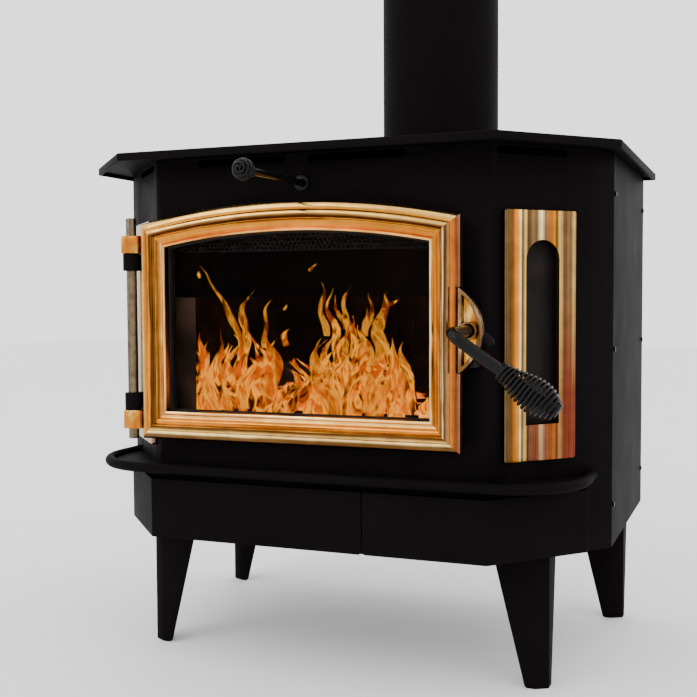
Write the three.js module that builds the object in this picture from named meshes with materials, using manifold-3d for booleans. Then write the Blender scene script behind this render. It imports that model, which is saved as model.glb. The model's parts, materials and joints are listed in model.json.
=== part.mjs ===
// Wood-burning stove on four legs: a chamfered steel cabinet round a welded firebox, an arched
// brass-framed glass door, brass side grilles, an ash shelf and a flue pipe.
// Millimetres. +X is to the right, +Y to the back and +Z up; the origin is on the floor,
// under the middle of the stove.
import * as THREE from 'three';
import { mergeVertices } from 'three/addons/utils/BufferGeometryUtils.js';
import Module from 'manifold-3d';

const wasm = await Module();
wasm.setup();

// ---- Driving dimensions ----
const GAP = 0.3; // left between pieces that touch
const LONG = 2000; // reach of a cut that goes right through

// Cabinet, with y counted from the front edge of the top plate
const TOP_HEIGHT = 800; // floor to the top plate's upper face
const CABINET_BOTTOM = 202; // floor to the bottom edge of the panels
const FRONT_HALF = 262; // middle to the bend between front and chamfer
const CHAMFER_X = 152; // chamfer's run across
const CHAMFER_Y = 169; // chamfer's run back
const SIDE_Y = 390; // side panel's length, front to back
const SHEET = 2.5; // panel thickness
const BEND = 14; // outer radius of the front bends
const LAP = 24; // side panel's flange behind the chamfer
const REAR_FLANGE = 20;

// Top plate
const OVERHANG = { front: 62, chamfer: 65, side: 20.5, back: 11 };
const TOP_PLATE = 6;
const LIP_DROP = 12; // lip height, plate included
const LIP_WIDTH = 6;

// Louvres under the lip
const LOUVRE_HEIGHT = 11;
const LOUVRE_DROP = 9; // below the top plate's upper face to the slot's top
const FRONT_LOUVRES = [[-189, -41], [-6, 148]]; // each slot's left and right ends
const CHAMFER_LOUVRE = [20, 142]; // along the chamfer from the front bend

// Door, seen from the front
const DOOR_CENTRE_X = -18;
const DOOR_WIDTH = 508;
const DOOR_LEFT = DOOR_CENTRE_X - DOOR_WIDTH / 2;
const DOOR_RIGHT = DOOR_CENTRE_X + DOOR_WIDTH / 2;
const DOOR_BOTTOM = 363;
const DOOR_SHOULDER = 693; // where the straight sides meet the arch
const DOOR_CROWN = 721;
const DOOR_FACE_Y = 16; // front of the moulding
const MOULDING = 44; // width of the brass moulding
const MOULDING_DEPTH = 20;
const CASTING_DEPTH = 23.7; // iron door behind the moulding, its rim included
const CASTING_PLATE = 10;
const CASTING_INSET = 5;
const RIM_INSET = 33; // inner edge of the rim that carries the rope
const ROPE_INSET = 24; // middle of the rope seal
const ROPE_RADIUS = 5;
const ROPE_GROOVE_DEPTH = 5.9;
const GLASS = 5;
const GLASS_SEAL = 2;
const GLASS_SEAL_WIDTH = 9;
const RETAINER = 4;
const RETAINER_WIDTH = 9.5;

// Door hinge
const HINGE_X = DOOR_LEFT - 18;
const HINGE_Y = 30;
const HINGE_ROD_RADIUS = 8;
const HINGE_ROD_BOTTOM = 362;
const HINGE_ROD_TOP = 703;
const HINGE_CLEARANCE = 0.3;
const KNUCKLE_RADIUS = 11.5;
const KNUCKLES = { upper: [648.7, 676], lower: [378, 407] }; // bottom and top of each
const BRACKET_HEIGHT = 26;
const BRACKET_EYE_RADIUS = 13;
const BRACKET_WEB = 8;
const BRACKET_PAD = 5;
const BRACKET_SPAN = [8, 26]; // along the chamfer from the front bend

// Latch and handle
const LATCH_X = DOOR_RIGHT + 15;
const LATCH_Z = 534;
const BOSS_HALF_HEIGHT = 60;
const BOSS_REACH = 33; // from the door's edge to the outermost point
const BOSS_FRONT_Y = 14;
const BOSS_BACK_Y = 34;
const BOSS_RIM = 5;
const BOSS_RECESS = 12;
const BUSHING_RADIUS = 12.4;
const BUSHING_REACH = 4; // in front of the boss
const HANDLE_RADIUS = 8;
const HANDLE_CLEARANCE = 0.3;
const HANDLE_FRONT_Y = -78;
const HANDLE_BEND = 16;
const HANDLE_ANGLE = -35; // degrees from level
const HANDLE_LENGTH = 172; // shaft's axis to the end of the bar
const GRIP_START = 78;
const GRIP_LENGTH = 92;
const GRIP_RADIUS = 24;
const GRIP_TURNS = 13;
const GRIP_WIRE = 4;
const GRIP_RIDGE = 1.6; // height of a turn above the groove beside it
const CAM_Y = 44;
const CAM_THICKNESS = 6;
const CAM_LENGTH = 34;
const CAM_WIDTH = 14;
const CAM_NOSE = 4;
const NUT = { across: 22, thickness: 5.5 };
const KEEPER = { left: LATCH_X - 11.5, width: 16, top: 512, bottom: 482, plate: 6, tabY: 34 };

// Damper rod, knob and slide plate
const DAMPER_X = -14.7;
const DAMPER_Z = 749;
const DAMPER_ROD_RADIUS = 5;
const DAMPER_KNOB_Y = -128;
const DAMPER_KNOB_RADIUS = 15;
const DAMPER_NECK = { radius: 8.25, length: 24 };
const DAMPER_CLEARANCE = 0.3;
const DAMPER_BUSHING = { wall: 1.4, flange: 5, thickness: 3 };
const DAMPER_TRAVEL = 100;
const DAMPER_PLATE = 4;
const DAMPER_PLATE_Y = 220; // front edge of the slide plate, pulled out
const DAMPER_PLATE_WIDTH = 210;
const DAMPER_TAB = 30; // width of the upright tab
const BYPASS = { width: 180, length: 80, lap: 10 }; // opening that the plate covers, pushed in
const PILOT_HOLE = { x: 14.2, z: 753.5, radius: 2.5 };

// Side grilles, along the chamfer from the front bend
const GRILLE_CENTRE = 90;
const GRILLE_WIDTH = 124;
const GRILLE_BOTTOM = 345;
const GRILLE_TOP = 702;
const GRILLE_DEPTH = 8;
const GRILLE_STEP = 3;
const SLOT_OFFSET = 3.5;
const SLOT_WIDTH = 58;
const SLOT_BOTTOM = 397;
const SLOT_TOP = 660;
const SLOT_MARGIN = 3; // by which the panel's slot is larger than the grille's

// Skirt and ash shelf
const SKIRT_BOTTOM = CABINET_BOTTOM + 3;
const SKIRT_TOP = 297;
const SKIRT_STANDOFF = 17;
const SKIRT_END = 172; // along the chamfer
const SKIRT_SEAM_X = 83;
const SKIRT_SEAM = 1.6;
const RIM_TUBE_RADIUS = 8;
const RIM_Z = 316;
const SHELF_REACH = 28; // front panel to the rim's centre line
const SHELF_HALF = 390; // middle to the rim's centre line at the ends
const SHELF_CORNER = 112;
const SHELF_PLATE = 3;
const SHELF_GAP = 1.2; // between the plate's edge and the rim

// Flue
const PIPE_RADIUS = 101.6;
const PIPE_WALL = 1.5;
const PIPE_LENGTH = 255; // above the collar
const PIPE_X = 80;
const PIPE_Y = 460;
const COLLAR_RADIUS = PIPE_RADIUS + 1.9;
const COLLAR_WALL = 5;
const COLLAR_HEIGHT = 50; // above the top plate
const CRIMP_LENGTH = 35;
const CRIMP_CLEARANCE = 1;
const CRIMP_FLARE = 1.7; // height over which the crimped end widens to the full pipe

// Firebox
const FIREBOX_INSET = { chamfer: 14, side: 30, back: 38 };
const FIREBOX_WALL = 5;
const FIREBOX_PLATE = 6;
const FIREBOX_FLOOR = 345; // underside of the floor plate
const FIREBOX_TOP = 763; // upper face of the top
const FACE_HALF = 256; // half the width of the face plate
const FACE_OPENING_INSET = 31; // from the door's outline
const PANEL_OPENING_INSET = 17;
const BRICK = 31.7;
const BRICK_HEIGHT = 229;
const BAFFLE_BOTTOM = 700;
const BAFFLE = 12;
const BAFFLE_FRONT_Y = 190;
const BAFFLE_BACK_GAP = 12;
const AIR_TUBE = { radius: 10, wall: 2.5, y: [240, 460] };
const PEDESTAL = { half: 200, front: 150, back: 550, wall: 4 };
const SCREEN = { bottom: 650, top: 700, half: 218, y: 74, thickness: 1.5, hole: 4, pitch: 26 };
const LOG_BAR = { half: 150, y: 100, depth: 12, height: 22 };
const BOTTOM_PLATE = 4;
const AIR_INTAKE = { half: 120, bottom: CABINET_BOTTOM + 20, height: 50, corner: 8 };

// Legs
const LEG_PLATE = 5;
const LEG_FACET = 22; // width of the angled facet
const LEG_FACET_ANGLE = 30; // degrees from the front flange
const LEG_TOP_WIDTH = 84;
const LEG_FOOT_WIDTH = 34;
const LEG_TOP_DEPTH = 62;
const LEG_FOOT_DEPTH = 30;
const LEG_TOE = 6; // corner radius at the foot
const FRONT_LEG = { outer: 335, y: 150 };
const REAR_LEG = { outer: 392, y: 545 };

// ---- Finishes ----
const finish = (color, roughness, metalness) =>
  new THREE.MeshStandardMaterial({ color, roughness, metalness });
const PAINT = finish(0x0c0b0d, 0.55, 0.2);
const PLATE_STEEL = finish(0x1a1817, 0.7, 0.3);
const BRASS = finish(0xc78a35, 0.2, 1);
const BLACK_ROD = finish(0x101012, 0.4, 0.6);
const NICKEL = finish(0x7d7a72, 0.3, 1);
const CAST_IRON = finish(0x151413, 0.75, 0.3);
const BRICK_CLAY = finish(0x6b5644, 0.95, 0);
const CERAMIC_GLASS = finish(0x201a16, 0.05, 0);
const ROPE = finish(0x4a4844, 0.95, 0);
const BOARD = finish(0xb9b2a4, 0.95, 0);

// ---- Solids ----
// A three.js geometry as a solid for joining and cutting.
function solid(geometry) {
  const bare = geometry.index ? geometry.toNonIndexed() : geometry.clone();
  bare.deleteAttribute('normal');
  bare.deleteAttribute('uv');
  const merged = mergeVertices(bare, 1e-4);
  return new wasm.Manifold(new wasm.Mesh({
    numProp: 3,
    vertProperties: merged.attributes.position.array,
    triVerts: new Uint32Array(merged.index.array),
  }));
}

// A solid as a three.js geometry.
function geometryOf(body) {
  const mesh = body.getMesh();
  const geometry = new THREE.BufferGeometry();
  geometry.setAttribute('position', new THREE.BufferAttribute(mesh.vertProperties, 3));
  geometry.setIndex(new THREE.BufferAttribute(mesh.triVerts, 1));
  geometry.computeVertexNormals();
  return geometry;
}

const shapeOf = (points) => new THREE.Shape(points.map(([x, y]) => new THREE.Vector2(x, y)));

// A plan outline raised from z0 to z1.
function raised(shape, z0, z1) {
  const outline = shape instanceof THREE.Shape ? shape : shapeOf(shape);
  const geometry = new THREE.ExtrudeGeometry(outline, {
    depth: z1 - z0, bevelEnabled: false, curveSegments: 6,
  });
  return solid(geometry.translate(0, 0, z0));
}

// A front-view outline (x across, z up) given depth from y0 back to y1.
function faced(shape, y0, y1) {
  const outline = shape instanceof THREE.Shape ? shape : shapeOf(shape);
  const geometry = new THREE.ExtrudeGeometry(outline, {
    depth: y1 - y0, bevelEnabled: false, curveSegments: 6,
  });
  return solid(geometry.rotateX(Math.PI / 2).translate(0, y1, 0));
}

// A side-view outline (y across, z up) given width from x0 to x1.
function sided(outline, x0, x1) {
  const geometry = new THREE.ExtrudeGeometry(shapeOf(outline), {
    depth: x1 - x0, bevelEnabled: false,
  });
  return solid(geometry.rotateX(Math.PI / 2).rotateZ(Math.PI / 2).translate(x0, 0, 0));
}

function block(x0, x1, y0, y1, z0, z1) {
  const geometry = new THREE.BoxGeometry(x1 - x0, y1 - y0, z1 - z0);
  return solid(geometry.translate((x0 + x1) / 2, (y0 + y1) / 2, (z0 + z1) / 2));
}

// An upright cylinder.
function post(x, y, radius, z0, z1, sides = 24) {
  const geometry = new THREE.CylinderGeometry(radius, radius, z1 - z0, sides);
  return solid(geometry.rotateX(Math.PI / 2).translate(x, y, (z0 + z1) / 2));
}

// A cylinder that lies front to back.
function spindle(x, z, radius, y0, y1, sides = 24) {
  const geometry = new THREE.CylinderGeometry(radius, radius, y1 - y0, sides);
  return solid(geometry.translate(x, (y0 + y1) / 2, z));
}

// A closed profile of [radius, height] points turned about the z axis.
function turned(profile, sides = 32) {
  const points = profile.map(([radius, height]) => new THREE.Vector2(radius, height));
  return solid(new THREE.LatheGeometry(points, sides).rotateX(Math.PI / 2));
}

// ---- Outlines ----
const unit = ([x, y]) => [x / Math.hypot(x, y), y / Math.hypot(x, y)];

// A polyline moved to its left by a distance.
function movedLeft(points, distance) {
  const lines = points.slice(1).map((point, i) => {
    const [dx, dy] = unit([point[0] - points[i][0], point[1] - points[i][1]]);
    return { dx, dy, x: points[i][0] - dy * distance, y: points[i][1] + dx * distance };
  });
  const first = [lines[0].x, lines[0].y];
  const end = points[points.length - 1];
  const tail = lines[lines.length - 1];
  const last = [end[0] - tail.dy * distance, end[1] + tail.dx * distance];
  const middle = lines.slice(1).map((next, i) => {
    const line = lines[i];
    const cross = line.dx * next.dy - line.dy * next.dx;
    const t = ((next.x - line.x) * next.dy - (next.y - line.y) * next.dx) / cross;
    return [line.x + line.dx * t, line.y + line.dy * t];
  });
  return [first, ...middle, last];
}

// A polyline whose corners are rounded to one radius.
function rounded(points, radius, steps = 5) {
  if (radius <= 0) return points;
  const out = [points[0]];
  for (let i = 1; i < points.length - 1; i += 1) {
    const corner = points[i];
    const [ax, ay] = unit([points[i - 1][0] - corner[0], points[i - 1][1] - corner[1]]);
    const [bx, by] = unit([points[i + 1][0] - corner[0], points[i + 1][1] - corner[1]]);
    const half = Math.acos(Math.max(-1, Math.min(1, ax * bx + ay * by))) / 2;
    const reach = radius / Math.tan(half);
    const away = radius / Math.sin(half);
    const [mx, my] = unit([ax + bx, ay + by]);
    const start = Math.atan2(ay * reach - my * away, ax * reach - mx * away);
    let sweep = Math.atan2(by * reach - my * away, bx * reach - mx * away) - start;
    if (sweep > Math.PI) sweep -= 2 * Math.PI;
    if (sweep < -Math.PI) sweep += 2 * Math.PI;
    for (let k = 0; k <= steps; k += 1) {
      const angle = start + sweep * k / steps;
      out.push([
        corner[0] + mx * away + radius * Math.cos(angle),
        corner[1] + my * away + radius * Math.sin(angle),
      ]);
    }
  }
  out.push(points[points.length - 1]);
  return out;
}

// The closed outline of a bent sheet: a polyline, and the same line one thickness to its left.
function bentSheet(points, thickness, radius = 0) {
  const inner = movedLeft(points, thickness);
  return [...rounded(points, radius), ...rounded(inner, radius - thickness).reverse()];
}

// A round-ended slot between two ends, or a rectangle with rounded corners.
function slotOutline(x0, x1, z0, z1, radius) {
  const r = Math.min(radius, (x1 - x0) / 2, (z1 - z0) / 2);
  const shape = new THREE.Shape();
  shape.absarc(x1 - r, z0 + r, r, -Math.PI / 2, 0, false);
  shape.absarc(x1 - r, z1 - r, r, 0, Math.PI / 2, false);
  shape.absarc(x0 + r, z1 - r, r, Math.PI / 2, Math.PI, false);
  shape.absarc(x0 + r, z0 + r, r, Math.PI, 1.5 * Math.PI, false);
  return shape;
}

// A slot with a flat bottom and a round top.
function archedSlot(centre, width, bottom, top) {
  const r = width / 2;
  const shape = new THREE.Shape();
  shape.moveTo(centre - r, bottom);
  shape.lineTo(centre + r, bottom);
  shape.absarc(centre, top - r, r, 0, Math.PI, false);
  return shape;
}

// ---- Cabinet plan ----
const FRONT_Y = OVERHANG.front;
const SIDE_HALF = FRONT_HALF + CHAMFER_X;
const REAR_Y = FRONT_Y + CHAMFER_Y + SIDE_Y;
const CHAMFER_LENGTH = Math.hypot(CHAMFER_X, CHAMFER_Y);
const CHAMFER_TURN = Math.atan2(CHAMFER_Y, CHAMFER_X);
const PLATE_BOTTOM = TOP_HEIGHT - TOP_PLATE;

// The cabinet's corners with each wall moved outwards by its own distance.
function corners({ front = 0, chamfer = 0, side = 0, back = 0 }) {
  const along = [Math.cos(CHAMFER_TURN), Math.sin(CHAMFER_TURN)];
  const start = [FRONT_HALF + along[1] * chamfer, FRONT_Y - along[0] * chamfer];
  const frontY = FRONT_Y - front;
  const sideX = SIDE_HALF + side;
  return {
    frontY,
    sideX,
    backY: REAR_Y + back,
    bendX: start[0] + (frontY - start[1]) * along[0] / along[1],
    shoulderY: start[1] + (sideX - start[0]) * along[1] / along[0],
  };
}

function planOutline(distances) {
  const { frontY, backY, sideX, bendX, shoulderY } = corners(distances);
  return [
    [-bendX, frontY], [bendX, frontY], [sideX, shoulderY],
    [sideX, backY], [-sideX, backY], [-sideX, shoulderY],
  ];
}

const evenly = (distance) =>
  ({ front: distance, chamfer: distance, side: distance, back: distance });

// A point of the right chamfer: a distance along it from the bend, and one outwards from it.
function onChamfer(along, outwards) {
  const c = Math.cos(CHAMFER_TURN);
  const s = Math.sin(CHAMFER_TURN);
  return [FRONT_HALF + along * c + outwards * s, FRONT_Y + along * s - outwards * c];
}

const mirrored = (points) => points.map(([x, y]) => [-x, y]).reverse();
const mirroredBody = (body) => body.mirror([1, 0, 0]);

// Moves a front-view solid onto the right chamfer: its x runs along the chamfer from the bend.
function toChamfer(body) {
  return body.rotate([0, 0, CHAMFER_TURN * 180 / Math.PI]).translate([FRONT_HALF, FRONT_Y, 0]);
}

// ---- Door outline ----
const DOOR_SAGITTA = DOOR_CROWN - DOOR_SHOULDER;
const ARCH_RADIUS = ((DOOR_WIDTH / 2) ** 2 + DOOR_SAGITTA ** 2) / (2 * DOOR_SAGITTA);
const ARCH_CENTRE_Z = DOOR_CROWN - ARCH_RADIUS;

// The door's arched outline, moved inwards by an inset.
function doorOutline(inset) {
  const half = DOOR_WIDTH / 2 - inset;
  const radius = ARCH_RADIUS - inset;
  const angle = Math.acos(half / radius);
  const shape = new THREE.Shape();
  shape.moveTo(DOOR_CENTRE_X - half, DOOR_BOTTOM + inset);
  shape.lineTo(DOOR_CENTRE_X + half, DOOR_BOTTOM + inset);
  shape.absarc(DOOR_CENTRE_X, ARCH_CENTRE_Z, radius, angle, Math.PI - angle, false);
  return shape;
}

const doorRing = (outer, inner, y0, y1) =>
  faced(doorOutline(outer), y0, y1).subtract(faced(doorOutline(inner), y0 - 1, y1 + 1));

// ---- Assembly ----
const stove = new THREE.Group();

function add(name, body, material) {
  const mesh = new THREE.Mesh(geometryOf(body), material);
  mesh.name = name;
  stove.add(mesh);
}

// ---- Cabinet ----
const grilleSlot = () => archedSlot(
  GRILLE_CENTRE + SLOT_OFFSET,
  SLOT_WIDTH + 2 * SLOT_MARGIN,
  SLOT_BOTTOM - SLOT_MARGIN,
  SLOT_TOP + SLOT_MARGIN,
);
const LOUVRE_TOP = TOP_HEIGHT - LOUVRE_DROP;
const BUSHING_SLEEVE = DAMPER_ROD_RADIUS + DAMPER_CLEARANCE + DAMPER_BUSHING.wall;

function frontJacket() {
  const right = [onChamfer(0, 0), onChamfer(CHAMFER_LENGTH, 0)];
  const outline = bentSheet([...mirrored(right), ...right], SHEET, BEND);
  let jacket = raised(outline, CABINET_BOTTOM, PLATE_BOTTOM - GAP);
  const behind = FRONT_Y + BEND;
  jacket = jacket.subtract(faced(doorOutline(PANEL_OPENING_INSET), 0, behind));
  for (const [left, end] of FRONT_LOUVRES) {
    const slot = slotOutline(left, end, LOUVRE_TOP - LOUVRE_HEIGHT, LOUVRE_TOP, LOUVRE_HEIGHT / 2);
    jacket = jacket.subtract(faced(slot, 0, behind));
  }
  const [start, stop] = CHAMFER_LOUVRE;
  const slot = slotOutline(start, stop, LOUVRE_TOP - LOUVRE_HEIGHT, LOUVRE_TOP, LOUVRE_HEIGHT / 2);
  const sideCuts = toChamfer(faced(slot, -20, 20).add(faced(grilleSlot(), -20, 20)));
  jacket = jacket.subtract(sideCuts).subtract(mirroredBody(sideCuts));
  jacket = jacket.subtract(spindle(DAMPER_X, DAMPER_Z, BUSHING_SLEEVE + GAP, 0, behind));
  return jacket.subtract(spindle(PILOT_HOLE.x, PILOT_HOLE.z, PILOT_HOLE.radius, 0, behind, 12));
}

function sidePanel() {
  const lap = corners({ chamfer: -(SHEET + GAP) });
  const flange = onChamfer(CHAMFER_LENGTH - LAP, -(SHEET + GAP));
  const path = [
    flange, [SIDE_HALF, lap.shoulderY], [SIDE_HALF, REAR_Y], [SIDE_HALF - REAR_FLANGE, REAR_Y],
  ];
  return raised(bentSheet(path, SHEET, SHEET + 2), CABINET_BOTTOM, PLATE_BOTTOM - GAP);
}

function backPanel() {
  const y = REAR_Y + GAP;
  const { half, bottom, height, corner } = AIR_INTAKE;
  const intake = slotOutline(-half, half, bottom, bottom + height, corner);
  return block(-SIDE_HALF, SIDE_HALF, y, y + SHEET, CABINET_BOTTOM, PLATE_BOTTOM - GAP)
    .subtract(faced(intake, y - 5, y + 10));
}

function topPlate() {
  const under = planOutline({
    front: OVERHANG.front - LIP_WIDTH,
    chamfer: OVERHANG.chamfer - LIP_WIDTH,
    side: OVERHANG.side - LIP_WIDTH,
    back: OVERHANG.back + LIP_WIDTH,
  });
  return raised(planOutline(OVERHANG), TOP_HEIGHT - LIP_DROP, TOP_HEIGHT)
    .subtract(raised(under, 0, PLATE_BOTTOM))
    .subtract(post(PIPE_X, PIPE_Y, COLLAR_RADIUS + SHELF_GAP, 0, LONG, 40));
}

function bottomPlate() {
  const outline = planOutline(evenly(-(SHEET + GAP) * 2 - 1));
  return raised(outline, CABINET_BOTTOM, CABINET_BOTTOM + BOTTOM_PLATE);
}

add('top_plate', topPlate(), PAINT);
add('front_jacket', frontJacket(), PAINT);
add('side_panel_right', sidePanel(), PAINT);
add('side_panel_left', mirroredBody(sidePanel()), PAINT);
add('back_panel', backPanel(), PAINT);
add('bottom_plate', bottomPlate(), PAINT);

// ---- Side grilles ----
function sideGrille() {
  const layer = (inset, y0, y1) => faced(slotOutline(
    GRILLE_CENTRE - GRILLE_WIDTH / 2 + inset,
    GRILLE_CENTRE + GRILLE_WIDTH / 2 - inset,
    GRILLE_BOTTOM + inset,
    GRILLE_TOP - inset,
    GRILLE_STEP,
  ), y0, y1);
  const slot = archedSlot(GRILLE_CENTRE + SLOT_OFFSET, SLOT_WIDTH, SLOT_BOTTOM, SLOT_TOP);
  const plate = layer(0, -GRILLE_DEPTH + GRILLE_STEP, -GAP)
    .add(layer(GRILLE_STEP, -GRILLE_DEPTH - GAP, -GRILLE_DEPTH + GRILLE_STEP));
  return toChamfer(plate.subtract(faced(slot, -20, 20)));
}

add('side_grille_right', sideGrille(), BRASS);
add('side_grille_left', mirroredBody(sideGrille()), BRASS);

// ---- Skirt and ash shelf ----
function skirt() {
  const { bendX, frontY } = corners(evenly(SKIRT_STANDOFF));
  const right = [
    [bendX, frontY], onChamfer(SKIRT_END, SKIRT_STANDOFF), onChamfer(SKIRT_END, GAP),
  ];
  const outline = bentSheet([...mirrored(right), ...right], SHEET, SHEET + 2);
  return raised(outline, SKIRT_BOTTOM, SKIRT_TOP);
}

const seamHalf = SKIRT_SEAM / 2;
const leftOfSeam = block(-LONG, SKIRT_SEAM_X - seamHalf, -LONG, LONG, 0, LONG);
const rightOfSeam = block(SKIRT_SEAM_X + seamHalf, LONG, -LONG, LONG, 0, LONG);
add('base_skirt_left', skirt().intersect(leftOfSeam), PAINT);
add('base_skirt_right', skirt().intersect(rightOfSeam), PAINT);

const RIM_Y = FRONT_Y - SHELF_REACH;
const CABINET_SOLID = raised(planOutline(evenly(GAP)), 0, PLATE_BOTTOM);

// The ash shelf's outline, moved inwards from the rim's centre line and closed inside the cabinet.
function shelfOutline(inset) {
  const half = SHELF_HALF - inset;
  const endY = corners({}).shoulderY;
  const line = [[-half, endY], [-half, RIM_Y + inset], [half, RIM_Y + inset], [half, endY]];
  return rounded(line, SHELF_CORNER - inset, 10);
}

// The rim's centre line: two straight ends, two rounded corners and the straight front.
class RimLine extends THREE.Curve {
  getPoint(t, target = new THREE.Vector3()) {
    const end = corners({}).shoulderY - RIM_Y - SHELF_CORNER;
    const arc = SHELF_CORNER * Math.PI / 2;
    const front = SHELF_HALF - SHELF_CORNER;
    const total = end + arc + front;
    const side = t < 0.5 ? -1 : 1;
    const d = Math.abs(t - 0.5) * 2 * total; // distance from the middle of the front
    if (d <= front) return target.set(side * d, RIM_Y, RIM_Z);
    if (d >= front + arc) {
      return target.set(side * SHELF_HALF, RIM_Y + SHELF_CORNER + d - front - arc, RIM_Z);
    }
    const angle = (d - front) / SHELF_CORNER;
    const x = front + SHELF_CORNER * Math.sin(angle);
    return target.set(side * x, RIM_Y + SHELF_CORNER * (1 - Math.cos(angle)), RIM_Z);
  }
}

function shelfRim() {
  const ring = new THREE.Shape().absarc(0, 0, RIM_TUBE_RADIUS, 0, 2 * Math.PI, false);
  const tube = new THREE.ExtrudeGeometry(ring, {
    steps: 40, extrudePath: new RimLine(), curveSegments: 5, bevelEnabled: false,
  });
  return solid(tube).subtract(CABINET_SOLID);
}

function ashShelf() {
  const plate = raised(shelfOutline(RIM_TUBE_RADIUS + SHELF_GAP), RIM_Z - SHELF_PLATE, RIM_Z);
  return plate.subtract(CABINET_SOLID);
}

add('shelf_rim_tube', shelfRim(), PAINT);
add('ash_shelf', ashShelf(), PAINT);

// ---- Legs ----
// A tapered leg bent from plate: a wide front flange, an angled facet and a flange going back.
function leg({ outer, y }) {
  const turn = LEG_FACET_ANGLE * Math.PI / 180;
  const top = CABINET_BOTTOM - GAP;
  const inner = outer - LEG_TOP_WIDTH;
  const path = [
    [inner, y], [outer - LEG_FACET * Math.cos(turn), y],
    [outer, y + LEG_FACET * Math.sin(turn)], [outer, y + LEG_TOP_DEPTH],
  ];
  const toe = rounded([[inner, top], [outer - LEG_FOOT_WIDTH, 0], [outer + 1, 0]], LEG_TOE);
  const frontTaper = [...toe, [outer + 1, top + 1], [inner, top + 1]];
  const back = y + LEG_TOP_DEPTH;
  const sideTaper = [
    [y - 1, 0], [y + LEG_FOOT_DEPTH, 0], [back, top], [back, top + 1], [y - 1, top + 1],
  ];
  return raised(bentSheet(path, LEG_PLATE), 0, top)
    .intersect(faced(frontTaper, y - 1, back + 1))
    .intersect(sided(sideTaper, 0, LONG));
}

add('leg_front_left', mirroredBody(leg(FRONT_LEG)), PAINT);
add('leg_front_right', leg(FRONT_LEG), PAINT);
add('leg_rear_left', mirroredBody(leg(REAR_LEG)), PAINT);
add('leg_rear_right', leg(REAR_LEG), PAINT);

// ---- Firebox ----
const FACE_Y = FRONT_Y + SHEET + GAP;
const FACE_BACK_Y = FACE_Y + FIREBOX_PLATE;
const WALL_BOTTOM = FIREBOX_FLOOR + FIREBOX_PLATE + GAP;
const WALL_TOP = FIREBOX_TOP - FIREBOX_PLATE - GAP;

// The firebox's plan: its walls moved further inwards by a distance, its front at a given y.
const fireboxPlan = (inwards, y) => corners({
  front: FRONT_Y - y,
  chamfer: -FIREBOX_INSET.chamfer - inwards,
  side: -FIREBOX_INSET.side - inwards,
  back: -FIREBOX_INSET.back - inwards,
});

function fireboxOutline(inwards, y) {
  const { frontY, backY, sideX, bendX, shoulderY } = fireboxPlan(inwards, y);
  return [
    [-bendX, frontY], [bendX, frontY], [sideX, shoulderY],
    [sideX, backY], [-sideX, backY], [-sideX, shoulderY],
  ];
}

function fireboxFace() {
  const outline = slotOutline(-FACE_HALF, FACE_HALF, WALL_BOTTOM, WALL_TOP, 1);
  return faced(outline, FACE_Y, FACE_BACK_Y)
    .subtract(faced(doorOutline(FACE_OPENING_INSET), FACE_Y - 1, FACE_BACK_Y + 1))
    .subtract(spindle(DAMPER_X, DAMPER_Z, DAMPER_ROD_RADIUS + 1.5, FACE_Y - 1, FACE_BACK_Y + 1));
}

function fireboxWall() {
  const plan = fireboxPlan(0, FACE_BACK_Y + GAP);
  const path = [
    [plan.bendX, plan.frontY], [plan.sideX, plan.shoulderY],
    [plan.sideX, plan.backY - FIREBOX_WALL - GAP],
  ];
  return raised(bentSheet(path, FIREBOX_WALL), WALL_BOTTOM, WALL_TOP);
}

function fireboxBack() {
  const { sideX, backY } = fireboxPlan(0, FACE_BACK_Y);
  return block(-sideX, sideX, backY - FIREBOX_WALL, backY, WALL_BOTTOM, WALL_TOP);
}

function fireboxTop() {
  const z0 = FIREBOX_TOP - FIREBOX_PLATE;
  return raised(fireboxOutline(0, FACE_Y), z0, FIREBOX_TOP)
    .subtract(post(PIPE_X, PIPE_Y, COLLAR_RADIUS - COLLAR_WALL, 0, LONG, 40));
}

add('firebox_face', fireboxFace(), PLATE_STEEL);
add('firebox_wall_right', fireboxWall(), PLATE_STEEL);
add('firebox_wall_left', mirroredBody(fireboxWall()), PLATE_STEEL);
add('firebox_back', fireboxBack(), PLATE_STEEL);
const floorPlate = raised(fireboxOutline(0, FACE_Y), FIREBOX_FLOOR, FIREBOX_FLOOR + FIREBOX_PLATE);
add('firebox_floor', floorPlate, PLATE_STEEL);
add('firebox_top', fireboxTop(), PLATE_STEEL);

function pedestal() {
  const { half, front, back, wall } = PEDESTAL;
  const z0 = CABINET_BOTTOM + BOTTOM_PLATE + GAP;
  const z1 = FIREBOX_FLOOR - GAP;
  return block(-half, half, front, back, z0, z1)
    .subtract(block(-half + wall, half - wall, front + wall, back - wall, 0, LONG));
}

add('firebox_pedestal', pedestal(), PLATE_STEEL);

// ---- Firebricks, air tubes, baffle, log bar and air-wash screen ----
const BRICK_BOTTOM = WALL_BOTTOM;
const BRICK_TOP = BRICK_BOTTOM + BRICK_HEIGHT;
const BRICK_FRONT_Y = FACE_BACK_Y + GAP;
const lining = fireboxPlan(FIREBOX_WALL + GAP, BRICK_FRONT_Y); // outer faces of the wall bricks
const hearth = fireboxPlan(FIREBOX_WALL + GAP + BRICK, BRICK_FRONT_Y); // their inner faces

function chamferBrick() {
  const [dx, dy] = [Math.cos(CHAMFER_TURN) * GAP, Math.sin(CHAMFER_TURN) * GAP];
  return raised([
    [lining.bendX, lining.frontY], [lining.sideX - dx, lining.shoulderY - dy],
    [hearth.sideX - dx, hearth.shoulderY - dy], [hearth.bendX, hearth.frontY],
  ], BRICK_BOTTOM, BRICK_TOP);
}

function sideBrick() {
  const backY = hearth.backY - GAP;
  return raised([
    [lining.sideX, lining.shoulderY + GAP], [lining.sideX, backY],
    [hearth.sideX, backY], [hearth.sideX, hearth.shoulderY + GAP],
  ], BRICK_BOTTOM, BRICK_TOP);
}

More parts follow.
